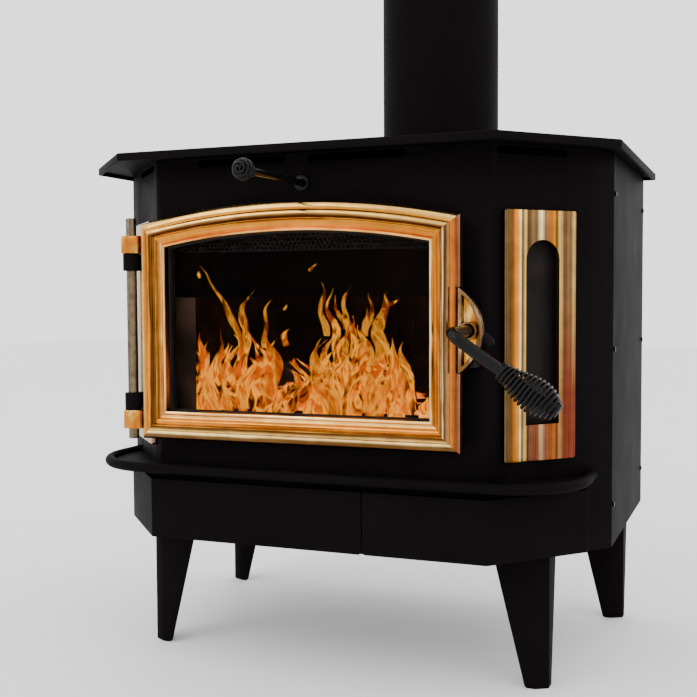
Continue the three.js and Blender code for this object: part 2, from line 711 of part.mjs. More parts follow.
function hearthBrick() {
  const outline = fireboxOutline(FIREBOX_WALL + BRICK + 3 * GAP, BRICK_FRONT_Y);
  return raised(outline, BRICK_BOTTOM, BRICK_BOTTOM + BRICK)
    .intersect(block(GAP / 2, LONG, -LONG, LONG, 0, LONG));
}

add('brick_chamfer_right', chamferBrick(), BRICK_CLAY);
add('brick_chamfer_left', mirroredBody(chamferBrick()), BRICK_CLAY);
add('brick_side_right', sideBrick(), BRICK_CLAY);
add('brick_side_left', mirroredBody(sideBrick()), BRICK_CLAY);
add('brick_hearth_right', hearthBrick(), BRICK_CLAY);
add('brick_hearth_left', mirroredBody(hearthBrick()), BRICK_CLAY);
const BACK_BRICKS = ['brick_back_left', 'brick_back_right'];
const backBrickWidth = 2 * lining.sideX / BACK_BRICKS.length;
BACK_BRICKS.forEach((name, i) => {
  const x0 = -lining.sideX + i * backBrickWidth;
  const x1 = x0 + backBrickWidth - GAP;
  add(name, block(x0, x1, hearth.backY, lining.backY, BRICK_BOTTOM, BRICK_TOP), BRICK_CLAY);
});

const TUBE_Z = BAFFLE_BOTTOM - GAP - AIR_TUBE.radius;
AIR_TUBE.y.forEach((y, i) => {
  const { radius, wall } = AIR_TUBE;
  const profile = [
    [radius - wall, -lining.sideX], [radius, -lining.sideX],
    [radius, lining.sideX], [radius - wall, lining.sideX], [radius - wall, -lining.sideX],
  ];
  const tube = turned(profile, 16).rotate([0, 90, 0]).translate([0, y, TUBE_Z]);
  add(`air_tube_${i + 1}`, tube, PLATE_STEEL);
});

const BYPASS_FRONT_Y = DAMPER_PLATE_Y + DAMPER_TRAVEL + BYPASS.lap;
function baffleBoard() {
  const outline = fireboxOutline(FIREBOX_WALL + GAP, BRICK_FRONT_Y);
  const inside = raised(outline, BAFFLE_BOTTOM, BAFFLE_BOTTOM + BAFFLE);
  const span = block(-LONG, LONG, BAFFLE_FRONT_Y, lining.backY - BAFFLE_BACK_GAP, 0, LONG);
  const { width, length } = BYPASS;
  const hole = block(-width / 2, width / 2, BYPASS_FRONT_Y, BYPASS_FRONT_Y + length, 0, LONG);
  return inside.intersect(span).subtract(hole);
}

add('baffle_board', baffleBoard(), BOARD);

function airwashScreen() {
  const { bottom, top, half, y, thickness, hole, pitch } = SCREEN;
  let screen = block(DOOR_CENTRE_X - half, DOOR_CENTRE_X + half, y, y + thickness, bottom, top);
  const count = Math.floor((2 * half - 2 * hole) / pitch);
  for (let i = 0; i < count; i += 1) {
    const x = DOOR_CENTRE_X + (i - (count - 1) / 2) * pitch;
    screen = screen.subtract(spindle(x, bottom + 3 * hole, hole, y - 1, y + thickness + 1, 6));
  }
  return screen;
}

add('airwash_screen', airwashScreen(), PLATE_STEEL);

function logBar() {
  const { half, y, depth, height } = LOG_BAR;
  const z0 = BRICK_BOTTOM + BRICK + GAP;
  const bar = block(-half, half, y, y + depth, z0 + height / 2, z0 + height);
  const foot = (x) => block(x - depth / 2, x + depth / 2, y, y + depth, z0, z0 + height);
  return bar.add(foot(-half + depth)).add(foot(half - depth));
}

add('log_bar', logBar(), CAST_IRON);

// ---- Flue ----
const COLLAR_TOP = TOP_HEIGHT + COLLAR_HEIGHT;
const PIPE_TOP = COLLAR_TOP + PIPE_LENGTH;

function flueCollar() {
  const inner = COLLAR_RADIUS - COLLAR_WALL;
  const bottom = FIREBOX_TOP + GAP;
  return turned([
    [inner, bottom], [COLLAR_RADIUS, bottom], [COLLAR_RADIUS, COLLAR_TOP], [inner, COLLAR_TOP],
    [inner, bottom],
  ], 40).translate([PIPE_X, PIPE_Y, 0]);
}

// The pipe's plain wall above the collar and its crimped end inside it.
function stovePipe() {
  const crimp = COLLAR_RADIUS - COLLAR_WALL - CRIMP_CLEARANCE;
  const base = COLLAR_TOP - CRIMP_LENGTH;
  const foot = COLLAR_TOP + GAP;
  const full = foot + CRIMP_FLARE;
  return turned([
    [crimp - PIPE_WALL, base], [crimp, base], [crimp, foot],
    [PIPE_RADIUS, full], [PIPE_RADIUS, PIPE_TOP], [PIPE_RADIUS - PIPE_WALL, PIPE_TOP],
    [PIPE_RADIUS - PIPE_WALL, full + PIPE_WALL], [crimp - PIPE_WALL, foot + PIPE_WALL],
    [crimp - PIPE_WALL, base],
  ], 40).translate([PIPE_X, PIPE_Y, 0]);
}

add('flue_collar', flueCollar(), PAINT);
add('stove_pipe', stovePipe(), PAINT);

// ---- Door ----
const MOULDING_BACK_Y = DOOR_FACE_Y + MOULDING_DEPTH;
const CASTING_Y = MOULDING_BACK_Y + GAP;
const CASTING_BACK_Y = CASTING_Y + CASTING_DEPTH;
const PLATE_BACK_Y = CASTING_Y + CASTING_PLATE;
const WINDOW_INSET = MOULDING + 2;

function doorFrame() {
  const step = MOULDING_DEPTH * 0.4;
  return doorRing(0, MOULDING, DOOR_FACE_Y + step, MOULDING_BACK_Y)
    .add(doorRing(step, MOULDING - step / 2, DOOR_FACE_Y, DOOR_FACE_Y + step));
}

function doorCasting() {
  const grooveHalf = ROPE_RADIUS + GAP;
  const plate = doorRing(CASTING_INSET, WINDOW_INSET, CASTING_Y, PLATE_BACK_Y);
  const rim = doorRing(CASTING_INSET, RIM_INSET, PLATE_BACK_Y - 1, CASTING_BACK_Y);
  const floor = CASTING_BACK_Y - ROPE_GROOVE_DEPTH;
  const groove = doorRing(ROPE_INSET - grooveHalf, ROPE_INSET + grooveHalf, floor, CASTING_BACK_Y + 1);
  return plate.add(rim).subtract(groove);
}

const SEAL_Y = PLATE_BACK_Y + GAP;
const GLASS_Y = SEAL_Y + GLASS_SEAL + GAP;
const RETAINER_Y = GLASS_Y + GLASS + GAP;
const GLASS_INSET = RIM_INSET + 2 * GAP;

// The rope seal: an octagon section carried round the door's outline.
function doorRope() {
  const half = ROPE_RADIUS * Math.tan(Math.PI / 8);
  const middle = CASTING_BACK_Y - ROPE_GROOVE_DEPTH + GAP + ROPE_RADIUS;
  const band = (width, depth) =>
    doorRing(ROPE_INSET - width, ROPE_INSET + width, middle - depth, middle + depth);
  return band(ROPE_RADIUS, half).add(band(half, ROPE_RADIUS));
}

add('door_frame', doorFrame(), BRASS);
add('door_casting', doorCasting(), CAST_IRON);
const sealRing = doorRing(GLASS_INSET, GLASS_INSET + GLASS_SEAL_WIDTH, SEAL_Y, SEAL_Y + GLASS_SEAL);
add('glass_seal', sealRing, ROPE);
add('door_glass', faced(doorOutline(GLASS_INSET), GLASS_Y, GLASS_Y + GLASS), CERAMIC_GLASS);
const retainerInner = GLASS_INSET + RETAINER_WIDTH;
const retainer = doorRing(GLASS_INSET, retainerInner, RETAINER_Y, RETAINER_Y + RETAINER);
add('glass_retainer', retainer, PLATE_STEEL);
add('door_rope', doorRope(), ROPE);

// ---- Hinge ----
add('hinge_rod', post(HINGE_X, HINGE_Y, HINGE_ROD_RADIUS, HINGE_ROD_BOTTOM, HINGE_ROD_TOP), NICKEL);

function knuckle([z0, z1]) {
  const bore = post(HINGE_X, HINGE_Y, HINGE_ROD_RADIUS + HINGE_CLEARANCE, z0 - 1, z1 + 1);
  const front = HINGE_Y - KNUCKLE_RADIUS;
  const arm = block(HINGE_X, DOOR_LEFT - GAP, front, HINGE_Y, z0, z1);
  return post(HINGE_X, HINGE_Y, KNUCKLE_RADIUS, z0, z1).add(arm).subtract(bore);
}

// A bracket from the left chamfer to an eye round the rod, just under a given height.
function hingeBracket(top) {
  const z0 = top - BRACKET_HEIGHT;
  const pad = [
    onChamfer(BRACKET_SPAN[0], GAP), onChamfer(BRACKET_SPAN[1], GAP),
    onChamfer(BRACKET_SPAN[1], GAP + BRACKET_PAD), onChamfer(BRACKET_SPAN[0], GAP + BRACKET_PAD),
  ].reverse();
  const middle = (BRACKET_SPAN[0] + BRACKET_SPAN[1]) / 2;
  const root = onChamfer(middle, GAP + BRACKET_PAD / 2);
  const [dx, dy] = unit([root[0] + HINGE_X, root[1] - HINGE_Y]);
  const [wx, wy] = [dy * BRACKET_WEB / 2, -dx * BRACKET_WEB / 2];
  const web = [
    [-HINGE_X + wx, HINGE_Y + wy], [root[0] + wx, root[1] + wy],
    [root[0] - wx, root[1] - wy], [-HINGE_X - wx, HINGE_Y - wy],
  ];
  const bore = post(-HINGE_X, HINGE_Y, HINGE_ROD_RADIUS + GAP, z0 - 1, top + 1);
  const bracket = raised(pad, z0, top).add(raised(web, z0, top))
    .add(post(-HINGE_X, HINGE_Y, BRACKET_EYE_RADIUS, z0, top))
    .subtract(bore)
    .subtract(CABINET_SOLID);
  return mirroredBody(bracket);
}

add('hinge_knuckle_upper', knuckle(KNUCKLES.upper), BRASS);
add('hinge_knuckle_lower', knuckle(KNUCKLES.lower), BRASS);
add('hinge_bracket_upper', hingeBracket(KNUCKLES.upper[0] - GAP), PAINT);
add('hinge_bracket_lower', hingeBracket(KNUCKLES.lower[1] + GAP + BRACKET_HEIGHT), PAINT);

// ---- Latch boss, bushing, handle and keeper ----
// The half-round boss on the door's edge, its arc moved inwards by an inset.
function bossOutline(inset, left) {
  const radius = (BOSS_HALF_HEIGHT ** 2 + BOSS_REACH ** 2) / (2 * BOSS_REACH);
  const centreX = DOOR_RIGHT + BOSS_REACH - radius;
  const angle = Math.acos((left - centreX) / (radius - inset));
  return new THREE.Shape().absarc(centreX, LATCH_Z, radius - inset, -angle, angle, false);
}

const BOSS_FLOOR_Y = BOSS_FRONT_Y + BOSS_RECESS;
const bossLeft = DOOR_RIGHT + GAP;
const bossBody = faced(bossOutline(0, bossLeft), BOSS_FRONT_Y, BOSS_BACK_Y)
  .subtract(faced(bossOutline(BOSS_RIM, bossLeft + GAP), BOSS_FRONT_Y - 1, BOSS_FLOOR_Y))
  .subtract(spindle(LATCH_X, LATCH_Z, HANDLE_RADIUS + HANDLE_CLEARANCE, 0, BOSS_BACK_Y + 1));
add('latch_boss', bossBody, BRASS);

const bushingFront = BOSS_FRONT_Y - BUSHING_REACH;
const bushing = spindle(LATCH_X, LATCH_Z, BUSHING_RADIUS, bushingFront, BOSS_FLOOR_Y - GAP)
  .subtract(spindle(LATCH_X, LATCH_Z, HANDLE_RADIUS + HANDLE_CLEARANCE, 0, BOSS_BACK_Y));
add('latch_bushing', bushing, BRASS);

// The handle's bar: a shaft through the door's edge, a tight bend and an arm.
class HandleLine extends THREE.Curve {
  getPoint(t, target = new THREE.Vector3()) {
    const back = CAM_Y + CAM_THICKNESS + NUT.thickness + GAP;
    const shaft = back - HANDLE_FRONT_Y - HANDLE_BEND;
    const arc = HANDLE_BEND * Math.PI / 2;
    const arm = HANDLE_LENGTH - HANDLE_BEND;
    const d = t * (shaft + arc + arm);
    const turn = HANDLE_ANGLE * Math.PI / 180;
    const place = (out, y) =>
      target.set(LATCH_X + out * Math.cos(turn), y, LATCH_Z + out * Math.sin(turn));
    if (d < shaft) return place(0, back - d);
    if (d > shaft + arc) return place(HANDLE_BEND + d - shaft - arc, HANDLE_FRONT_Y);
    const angle = (d - shaft) / HANDLE_BEND;
    const y = HANDLE_FRONT_Y + HANDLE_BEND * (1 - Math.sin(angle));
    return place(HANDLE_BEND * (1 - Math.cos(angle)), y);
  }
}

const barSection = new THREE.Shape().absarc(0, 0, HANDLE_RADIUS, 0, 2 * Math.PI, false);
const handleBar = new THREE.ExtrudeGeometry(barSection, {
  steps: 28, extrudePath: new HandleLine(), curveSegments: 6, bevelEnabled: false,
});
add('handle_rod', solid(handleBar), BLACK_ROD);

// Turns a solid made along +X about the shaft's axis by an angle from level, at a given y.
const onArm = (body, angle, y) => body.rotate([0, -angle, 0]).translate([LATCH_X, y, LATCH_Z]);

// The coil grip's envelope: an egg of close turns round the bar.
function coilGrip() {
  const bore = HANDLE_RADIUS + GAP;
  const profile = [[bore, 0]];
  const steps = GRIP_TURNS * 2;
  for (let i = 0; i <= steps; i += 1) {
    const t = i / steps;
    const swell = Math.sin(Math.PI * t ** 1.35) ** 0.8;
    const ridge = i % 2 === 0 ? 0 : GRIP_RIDGE;
    const radius = bore + GRIP_WIRE + (GRIP_RADIUS - bore - GRIP_WIRE - GRIP_RIDGE) * swell + ridge;
    profile.push([radius, t * GRIP_LENGTH]);
  }
  profile.push([bore, GRIP_LENGTH], [bore, 0]);
  const body = turned(profile, 14).rotate([0, 90, 0]).translate([GRIP_START, 0, 0]);
  return onArm(body, HANDLE_ANGLE, HANDLE_FRONT_Y);
}

add('coil_grip', coilGrip(), BLACK_ROD);

// The cam: a finger that swings behind the keeper when the handle is turned down.
function latchCam() {
  const hub = spindle(0, 0, BUSHING_RADIUS, 0, CAM_THICKNESS);
  const half = CAM_WIDTH / 2;
  const shoulder = CAM_LENGTH - CAM_NOSE;
  const finger = faced([
    [0, -half], [shoulder, -half + 1], [CAM_LENGTH, 0], [shoulder, half - 1], [0, half],
  ], 0, CAM_THICKNESS);
  const bore = spindle(0, 0, HANDLE_RADIUS + GAP, -1, CAM_THICKNESS + 1);
  return onArm(hub.add(finger).subtract(bore), HANDLE_ANGLE, CAM_Y);
}

function camNut() {
  const y = CAM_Y + CAM_THICKNESS + GAP;
  return spindle(LATCH_X, LATCH_Z, NUT.across / Math.sqrt(3), y, y + NUT.thickness, 6)
    .subtract(spindle(LATCH_X, LATCH_Z, HANDLE_RADIUS + GAP, y - 1, y + NUT.thickness + 1));
}

add('latch_cam', latchCam(), CAST_IRON);
add('cam_nut', camNut(), PLATE_STEEL);

// The keeper: a J of plate on the front panel, open upwards, whose tab holds the cam back.
function latchKeeper() {
  const { left, width, top, bottom, plate, tabY } = KEEPER;
  const right = left + width;
  const back = FRONT_Y - GAP;
  return block(left, right, tabY, back, bottom, bottom + plate)
    .add(block(left, right, tabY, tabY + plate, bottom, top))
    .add(block(left, right, back - plate, back, bottom, top + 2));
}

add('latch_keeper', latchKeeper(), PLATE_STEEL);

// ---- Damper ----
const damperRod = spindle(
  DAMPER_X, DAMPER_Z, DAMPER_ROD_RADIUS,
  DAMPER_KNOB_Y + 2 * GAP, DAMPER_PLATE_Y + 3 * DAMPER_PLATE, 16,
);
add('damper_rod', damperRod, BLACK_ROD);

// The knob's envelope: a ball of wire turns on a short neck, over the rod's front end.
function damperKnob() {
  const bore = DAMPER_ROD_RADIUS + GAP;
  const { radius: neck, length: neckLength } = DAMPER_NECK;
  const ball = [];
  const start = Math.asin(neck / DAMPER_KNOB_RADIUS);
  for (let i = 0; i <= 8; i += 1) {
    const angle = start + (Math.PI - start) * i / 8;
    const radius = i === 8 ? 0 : DAMPER_KNOB_RADIUS * Math.sin(angle);
    ball.push([radius, DAMPER_KNOB_RADIUS * Math.cos(angle)]);
  }
  const profile = [[0, GAP], [bore, GAP], [bore, neckLength], [neck, neckLength], ...ball, [0, GAP]];
  return turned(profile.reverse(), 16).rotate([-90, 0, 0])
    .translate([DAMPER_X, DAMPER_KNOB_Y, DAMPER_Z]);
}

add('damper_knob', damperKnob(), BLACK_ROD);

function damperBushing() {
  const y = FRONT_Y - GAP;
  const reach = FRONT_Y + SHEET;
  const { flange, thickness } = DAMPER_BUSHING;
  return spindle(DAMPER_X, DAMPER_Z, BUSHING_SLEEVE + flange, y - thickness, y)
    .add(spindle(DAMPER_X, DAMPER_Z, BUSHING_SLEEVE, y - 1, reach))
    .subtract(spindle(DAMPER_X, DAMPER_Z, DAMPER_ROD_RADIUS + DAMPER_CLEARANCE, 0, reach + 1, 16));
}

add('damper_bushing', damperBushing(), PLATE_STEEL);

// The slide plate on the baffle, with an upright tab that the rod passes through.
function damperPlate() {
  const z0 = BAFFLE_BOTTOM + BAFFLE + GAP;
  const half = DAMPER_PLATE_WIDTH / 2;
  const length = BYPASS.length + 2.5 * BYPASS.lap;
  const y = DAMPER_PLATE_Y;
  const left = DAMPER_X - DAMPER_TAB / 2;
  const tab = block(left, left + DAMPER_TAB, y, y + DAMPER_PLATE, z0, WALL_TOP - 2);
  return block(-half, half, y, y + length, z0, z0 + DAMPER_PLATE).add(tab)
    .subtract(spindle(DAMPER_X, DAMPER_Z, DAMPER_ROD_RADIUS + GAP, y - 1, y + DAMPER_PLATE + 1, 16));
}

add('damper_plate', damperPlate(), PLATE_STEEL);

// ---- Origin: under the middle of the whole stove ----
const extent = new THREE.Box3().setFromObject(stove);
stove.position.y = -(extent.min.y + extent.max.y) / 2;

export default stove;
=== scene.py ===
"""Wood-burning stove: the finished look of each piece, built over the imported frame."""

import json
import math
import random

import bmesh
import bpy
from bpy.props import FloatProperty, FloatVectorProperty, IntProperty, PointerProperty
from mathutils import Matrix, Vector

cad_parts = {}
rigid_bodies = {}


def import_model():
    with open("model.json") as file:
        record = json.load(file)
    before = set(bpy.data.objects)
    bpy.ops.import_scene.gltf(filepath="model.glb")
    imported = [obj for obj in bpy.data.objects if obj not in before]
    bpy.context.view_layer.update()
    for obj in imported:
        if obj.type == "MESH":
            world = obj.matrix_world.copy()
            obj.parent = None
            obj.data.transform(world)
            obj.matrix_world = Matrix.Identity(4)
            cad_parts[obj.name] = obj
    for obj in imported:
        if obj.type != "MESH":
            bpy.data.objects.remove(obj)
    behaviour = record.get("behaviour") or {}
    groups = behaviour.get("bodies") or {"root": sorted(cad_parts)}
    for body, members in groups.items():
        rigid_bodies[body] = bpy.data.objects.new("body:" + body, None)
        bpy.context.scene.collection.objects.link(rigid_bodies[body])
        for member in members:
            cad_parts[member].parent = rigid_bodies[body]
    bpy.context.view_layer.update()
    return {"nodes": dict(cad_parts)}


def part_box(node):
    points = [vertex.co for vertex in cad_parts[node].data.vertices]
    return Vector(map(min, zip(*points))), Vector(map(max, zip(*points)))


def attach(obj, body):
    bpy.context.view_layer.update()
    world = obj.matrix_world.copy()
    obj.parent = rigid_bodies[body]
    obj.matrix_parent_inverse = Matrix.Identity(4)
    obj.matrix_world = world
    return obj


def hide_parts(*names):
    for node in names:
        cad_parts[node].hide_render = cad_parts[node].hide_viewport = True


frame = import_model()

bl_info = {
    "name": "Wood Stove Builder",
    "version": (1, 0, 0),
    "blender": (4, 5, 0),
    "location": "View3D > Sidebar > Stove",
    "description": "Builds the visible pieces of a brass-trimmed wood stove",
    "category": "Object",
}

MM = 0.001
# The shop drawing counts y from the top plate's front edge; the frame's origin is further back.
DOOR_FACE_Y = 16.0
DRAWING_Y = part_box("door_frame")[0][1] - DOOR_FACE_Y * MM

# ---- Plan of the cabinet, in drawing millimetres ----
FRONT_HALF = 262.0
FRONT_Y = 62.0
CHAMFER_X = 152.0
CHAMFER_Y = 169.0
SIDE_HALF = FRONT_HALF + CHAMFER_X
SHOULDER_Y = FRONT_Y + CHAMFER_Y
REAR_Y = 621.0
TURN = math.atan2(CHAMFER_Y, CHAMFER_X)
CHAMFER_LENGTH = math.hypot(CHAMFER_X, CHAMFER_Y)
FLUE_X, FLUE_Y = ((low + high) / 2 / MM for low, high in list(zip(*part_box("stove_pipe")))[:2])
FLUE_Y -= DRAWING_Y / MM
PANEL_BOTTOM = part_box("front_jacket")[0][2] / MM
PANEL_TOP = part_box("front_jacket")[1][2] / MM
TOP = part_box("top_plate")[1][2] / MM

# ---- Door outline ----
DOOR_X = -18.0
DOOR_HALF = 254.0
DOOR_BOTTOM = 363.0
DOOR_SHOULDER = 693.0
DOOR_CROWN = 721.0
ARCH_RADIUS = (DOOR_HALF**2 + (DOOR_CROWN - DOOR_SHOULDER) ** 2) / (2 * (DOOR_CROWN - DOOR_SHOULDER))
ARCH_Z = DOOR_CROWN - ARCH_RADIUS
MOULDING_WIDTH = 44.0

# ---- Sheet metal ----
SHEET_ROUND = 0.5  # rounding of a cut sheet's edges
SHEET_ANGLE = 50  # degrees past which those edges are rounded, so that folds stay whole
SEAT_GAP = 0.3  # left between pieces that touch
TOP_PLATE = 6.0
LIP_DROP = 12.0
LIP_WIDTH = 6.0
OVERHANG = (62.0, 65.0, 20.5, 11.0)  # past the front, the chamfers, the sides and the back
LOUVRE = (780.0, 791.0, 5.3)  # bottom, top and corner radius
FRONT_LOUVRES = ((-189, -41), (-6, 148))
CHAMFER_LOUVRE = (20, 142)
GRILLE_ENDS = (28, 152)
GRILLE_HEIGHTS = (345, 702)
GRILLE_FACE = 8.3
SLOT_CENTRE = 93.5
SKIRT_STANDOFF = 17.0
SKIRT_END = 172.0
SEAM_SIDES = (82.2, 83.8)
SHELF_HALF = 390.0
SHELF_FRONT = 34.0
SHELF_CORNER = 112.0
SHELF_END = 206.0
SHELF_Z = 316.0
SHELF_GAP = 8.6  # the rim's centre line to the shelf plate's edge
SHELF_PLATE = 3.0

# ---- Fittings ----
DAMPER_X = -14.7
DAMPER_Z = 749.0
KNOB_Y = -128.0
KNOB_RADIUS = 15.0
NECK_RADIUS = 6.9
NECK_END_Y = -104.0
PILOT_HOLE = (14.2, 753.5)
LATCH_X = 251.0
LATCH_Z = 534.0
BORE_RADIUS = 8.4
BOSS_HALF_HEIGHT = 60.0
BOSS_REACH = 33.0
ARM_Y = -78.0
ARM_BEND = 16.0
ARM_ANGLE = math.radians(-35)
BAR_RADIUS = 8.0
GRIP_START = 78.0
GRIP_LENGTH = 92.0
GRIP_RADIUS = 24.0
BRICK_LENGTH = 114.3


def at(x, y, z):
    """A drawing point, in millimetres, as a place in the frame, in metres."""
    return Vector((x * MM, y * MM + DRAWING_Y, z * MM))


def drawn(place):
    """A place in the frame as a point of the drawing's plan."""
    return (place.x / MM, (place.y - DRAWING_Y) / MM)


def on_chamfer(along, outwards, z, side=1):
    """A point of a chamfer: a distance along it from the front bend, and one outwards from it."""
    x = FRONT_HALF + along * math.cos(TURN) + outwards * math.sin(TURN)
    y = FRONT_Y + along * math.sin(TURN) - outwards * math.cos(TURN)
    return at(side * x, y, z)


def plan(front, chamfer, side, back):
    """The cabinet's six corners with each wall moved outwards by its own distance."""
    start_x = FRONT_HALF + math.sin(TURN) * chamfer
    start_y = FRONT_Y - math.cos(TURN) * chamfer
    bend_x = start_x + (FRONT_Y - front - start_y) / math.tan(TURN)
    shoulder_y = start_y + (SIDE_HALF + side - start_x) * math.tan(TURN)
    half = [(bend_x, FRONT_Y - front), (SIDE_HALF + side, shoulder_y), (SIDE_HALF + side, REAR_Y + back)]
    return half + [(-x, y) for x, y in reversed(half)]


def door_outline(inset, steps=40):
    """The door's arched outline in front view, moved inwards by an inset."""
    half = DOOR_HALF - inset
    radius = ARCH_RADIUS - inset
    angle = math.acos(half / radius)
    points = [(DOOR_X - half, DOOR_BOTTOM + inset), (DOOR_X + half, DOOR_BOTTOM + inset)]
    for i in range(steps + 1):
        turn = angle + (math.pi - 2 * angle) * i / steps
        points.append((DOOR_X + radius * math.cos(turn), ARCH_Z + radius * math.sin(turn)))
    return points


# ---- Modelling steps ----
def clear_selection():
    """Leaves edit mode and deselects everything."""
    if bpy.context.mode != "OBJECT":
        bpy.ops.object.mode_set(mode="OBJECT")
    bpy.ops.object.select_all(action="DESELECT")


def use(obj):
    """Makes one object the only one selected."""
    clear_selection()
    obj.select_set(True)
    bpy.context.view_layer.objects.active = obj
    return obj


def take(name):
    """Names the primitive that was just added."""
    obj = bpy.context.object
    obj.name = name
    obj.data.name = name
    return obj


def settle(obj):
    """Puts an object's place, turn and size into its mesh."""
    use(obj)
    bpy.ops.object.transform_apply(location=True, rotation=True, scale=True)
    return obj


def block(name, low, high):
    """A box between two corners."""
    clear_selection()
    bpy.ops.mesh.primitive_cube_add(size=1, location=(low + high) / 2)
    obj = take(name)
    obj.scale = high - low
    return settle(obj)


def follow(obj, rings):
    """Extrudes what is picked from each outline to the next one, corner by corner."""
    for before, after in zip(rings, rings[1:]):
        bpy.ops.mesh.extrude_region_move()
        mesh = bmesh.from_edit_mesh(obj.data)
        for vertex in mesh.verts:
            if vertex.select:
                nearest = min(range(len(before)), key=lambda i: (before[i] - vertex.co).length_squared)
                vertex.co = after[nearest]
        bmesh.update_edit_mesh(obj.data)


def swept(name, rings, closed=True):
    """Matching outlines joined in order: a closed frame, or a solid with its first and last filled."""
    clear_selection()
    bpy.ops.mesh.primitive_circle_add(vertices=len(rings[0]), fill_type="NOTHING" if closed else "NGON")
    obj = take(name)
    for vertex, place in zip(obj.data.vertices, rings[0]):
        vertex.co = place
    use(obj)
    bpy.ops.object.mode_set(mode="EDIT")
    bpy.ops.mesh.select_mode(type="VERT" if closed else "FACE")
    bpy.ops.mesh.select_all(action="SELECT")
    follow(obj, rings + rings[:1] if closed else rings)
    done()
    return recalculated(obj)


def map_surface(obj, place_of):
    """A map of the surface for its finish: where each corner lies along and across the piece."""
    while obj.data.uv_layers:
        obj.data.uv_layers.remove(obj.data.uv_layers[0])
    layer = obj.data.uv_layers.new(name="finish_map")
    for polygon in obj.data.polygons:
        for corner in polygon.loop_indices:
            point = obj.data.vertices[obj.data.loops[corner].vertex_index].co
            layer.data[corner].uv = place_of(point, polygon)


def rod(name, start, end, radius, sides=32):
    """A round bar between two points."""
    clear_selection()
    along = end - start
    bpy.ops.mesh.primitive_cylinder_add(
        vertices=sides, radius=radius * MM, depth=along.length, location=(start + end) / 2,
    )
    obj = take(name)
    obj.rotation_euler = along.to_track_quat("Z", "Y").to_euler()
    return settle(obj)


def outline(name, places):
    """A flat face with its corners on the given places."""
    clear_selection()
    bpy.ops.mesh.primitive_circle_add(vertices=len(places), fill_type="NGON")
    obj = take(name)
    for vertex, place in zip(obj.data.vertices, places):
        vertex.co = place
    return obj


def pick_faces(obj, test):
    """Enters edit mode with the faces selected whose middle and normal pass a test."""
    use(obj)
    bpy.ops.object.mode_set(mode="EDIT")
    bpy.ops.mesh.select_mode(type="FACE")
    bpy.ops.mesh.select_all(action="DESELECT")
    mesh = bmesh.from_edit_mesh(obj.data)
    mesh.normal_update()
    for face in mesh.faces:
        face.select_set(bool(test(face.calc_center_median(), face.normal)))
    bmesh.update_edit_mesh(obj.data)


def pick_edges(obj, test):
    """Enters edit mode with the edges selected whose two ends pass a test."""
    use(obj)
    bpy.ops.object.mode_set(mode="EDIT")
    bpy.ops.mesh.select_mode(type="EDGE")
    bpy.ops.mesh.select_all(action="DESELECT")
    mesh = bmesh.from_edit_mesh(obj.data)
    for edge in mesh.edges:
        edge.select_set(bool(test(edge.verts[0].co, edge.verts[1].co)))
    bmesh.update_edit_mesh(obj.data)


def done():
    """Goes back to object mode."""
    bpy.ops.object.mode_set(mode="OBJECT")


def extrude_picked(value):
    """Extrudes what is selected by a vector."""
    bpy.ops.mesh.extrude_region_move(TRANSFORM_OT_translate={"value": value})


def recalculated(obj):
    """Merges doubles and points every face outwards."""
    use(obj)
    bpy.ops.object.mode_set(mode="EDIT")
    bpy.ops.mesh.select_all(action="SELECT")
    bpy.ops.mesh.remove_doubles(threshold=2e-6)
    bpy.ops.mesh.normals_make_consistent(inside=False)
    done()
    return obj


def plate(name, places, thickness):
    """A flat outline given a thickness."""
    obj = outline(name, places)
    pick_faces(obj, lambda middle, normal: True)
    extrude_picked(thickness)
    done()
    return recalculated(obj)


def front_plate(name, points, y0, y1):
    """A front-view outline between two depths."""
    return plate(name, [at(x, y0, z) for x, z in points], (0, (y1 - y0) * MM, 0))


def plan_plate(name, points, z0, z1):
    """A plan outline between two heights."""
    return plate(name, [at(x, y, z0) for x, y in points], (0, 0, (z1 - z0) * MM))


def apply_modifier(obj, kind, **settings):
    """Adds one modifier and applies it."""
    use(obj)
    bpy.ops.object.modifier_add(type=kind)
    modifier = obj.modifiers[-1]
    for key, value in settings.items():
        setattr(modifier, key, value)
    bpy.ops.object.modifier_apply(modifier=modifier.name)
    return obj


def soften(obj, width, segments=2, angle=35):
    """Rounds the edges that are sharper than an angle."""
    return apply_modifier(
        obj, "BEVEL", width=width * MM, segments=segments, limit_method="ANGLE",
        angle_limit=math.radians(angle), miter_outer="MITER_ARC", use_clamp_overlap=True,
    )


def cut(obj, *cutters):
    """Takes the cutters' shapes out of an object, and removes the cutters."""
    for cutter in cutters:
        apply_modifier(obj, "BOOLEAN", operation="DIFFERENCE", solver="EXACT", object=cutter)
        use(cutter)
        bpy.ops.object.delete()
    return use(obj)


def join(obj, *others, name=None):
    """Makes several objects one."""
    use(obj)
    for other in others:
        other.select_set(True)
    bpy.ops.object.join()
    if name:
        obj.name = name
    return obj


def copied(obj, name, move=Vector((0, 0, 0)), mirrored=False):
    """A copy with its own mesh, moved or mirrored left to right."""
    use(obj)
    bpy.ops.object.duplicate()
    twin = take(name)
    twin.location = move
    if mirrored:
        twin.scale = (-1, 1, 1)
    settle(twin)
    return recalculated(twin) if mirrored else twin


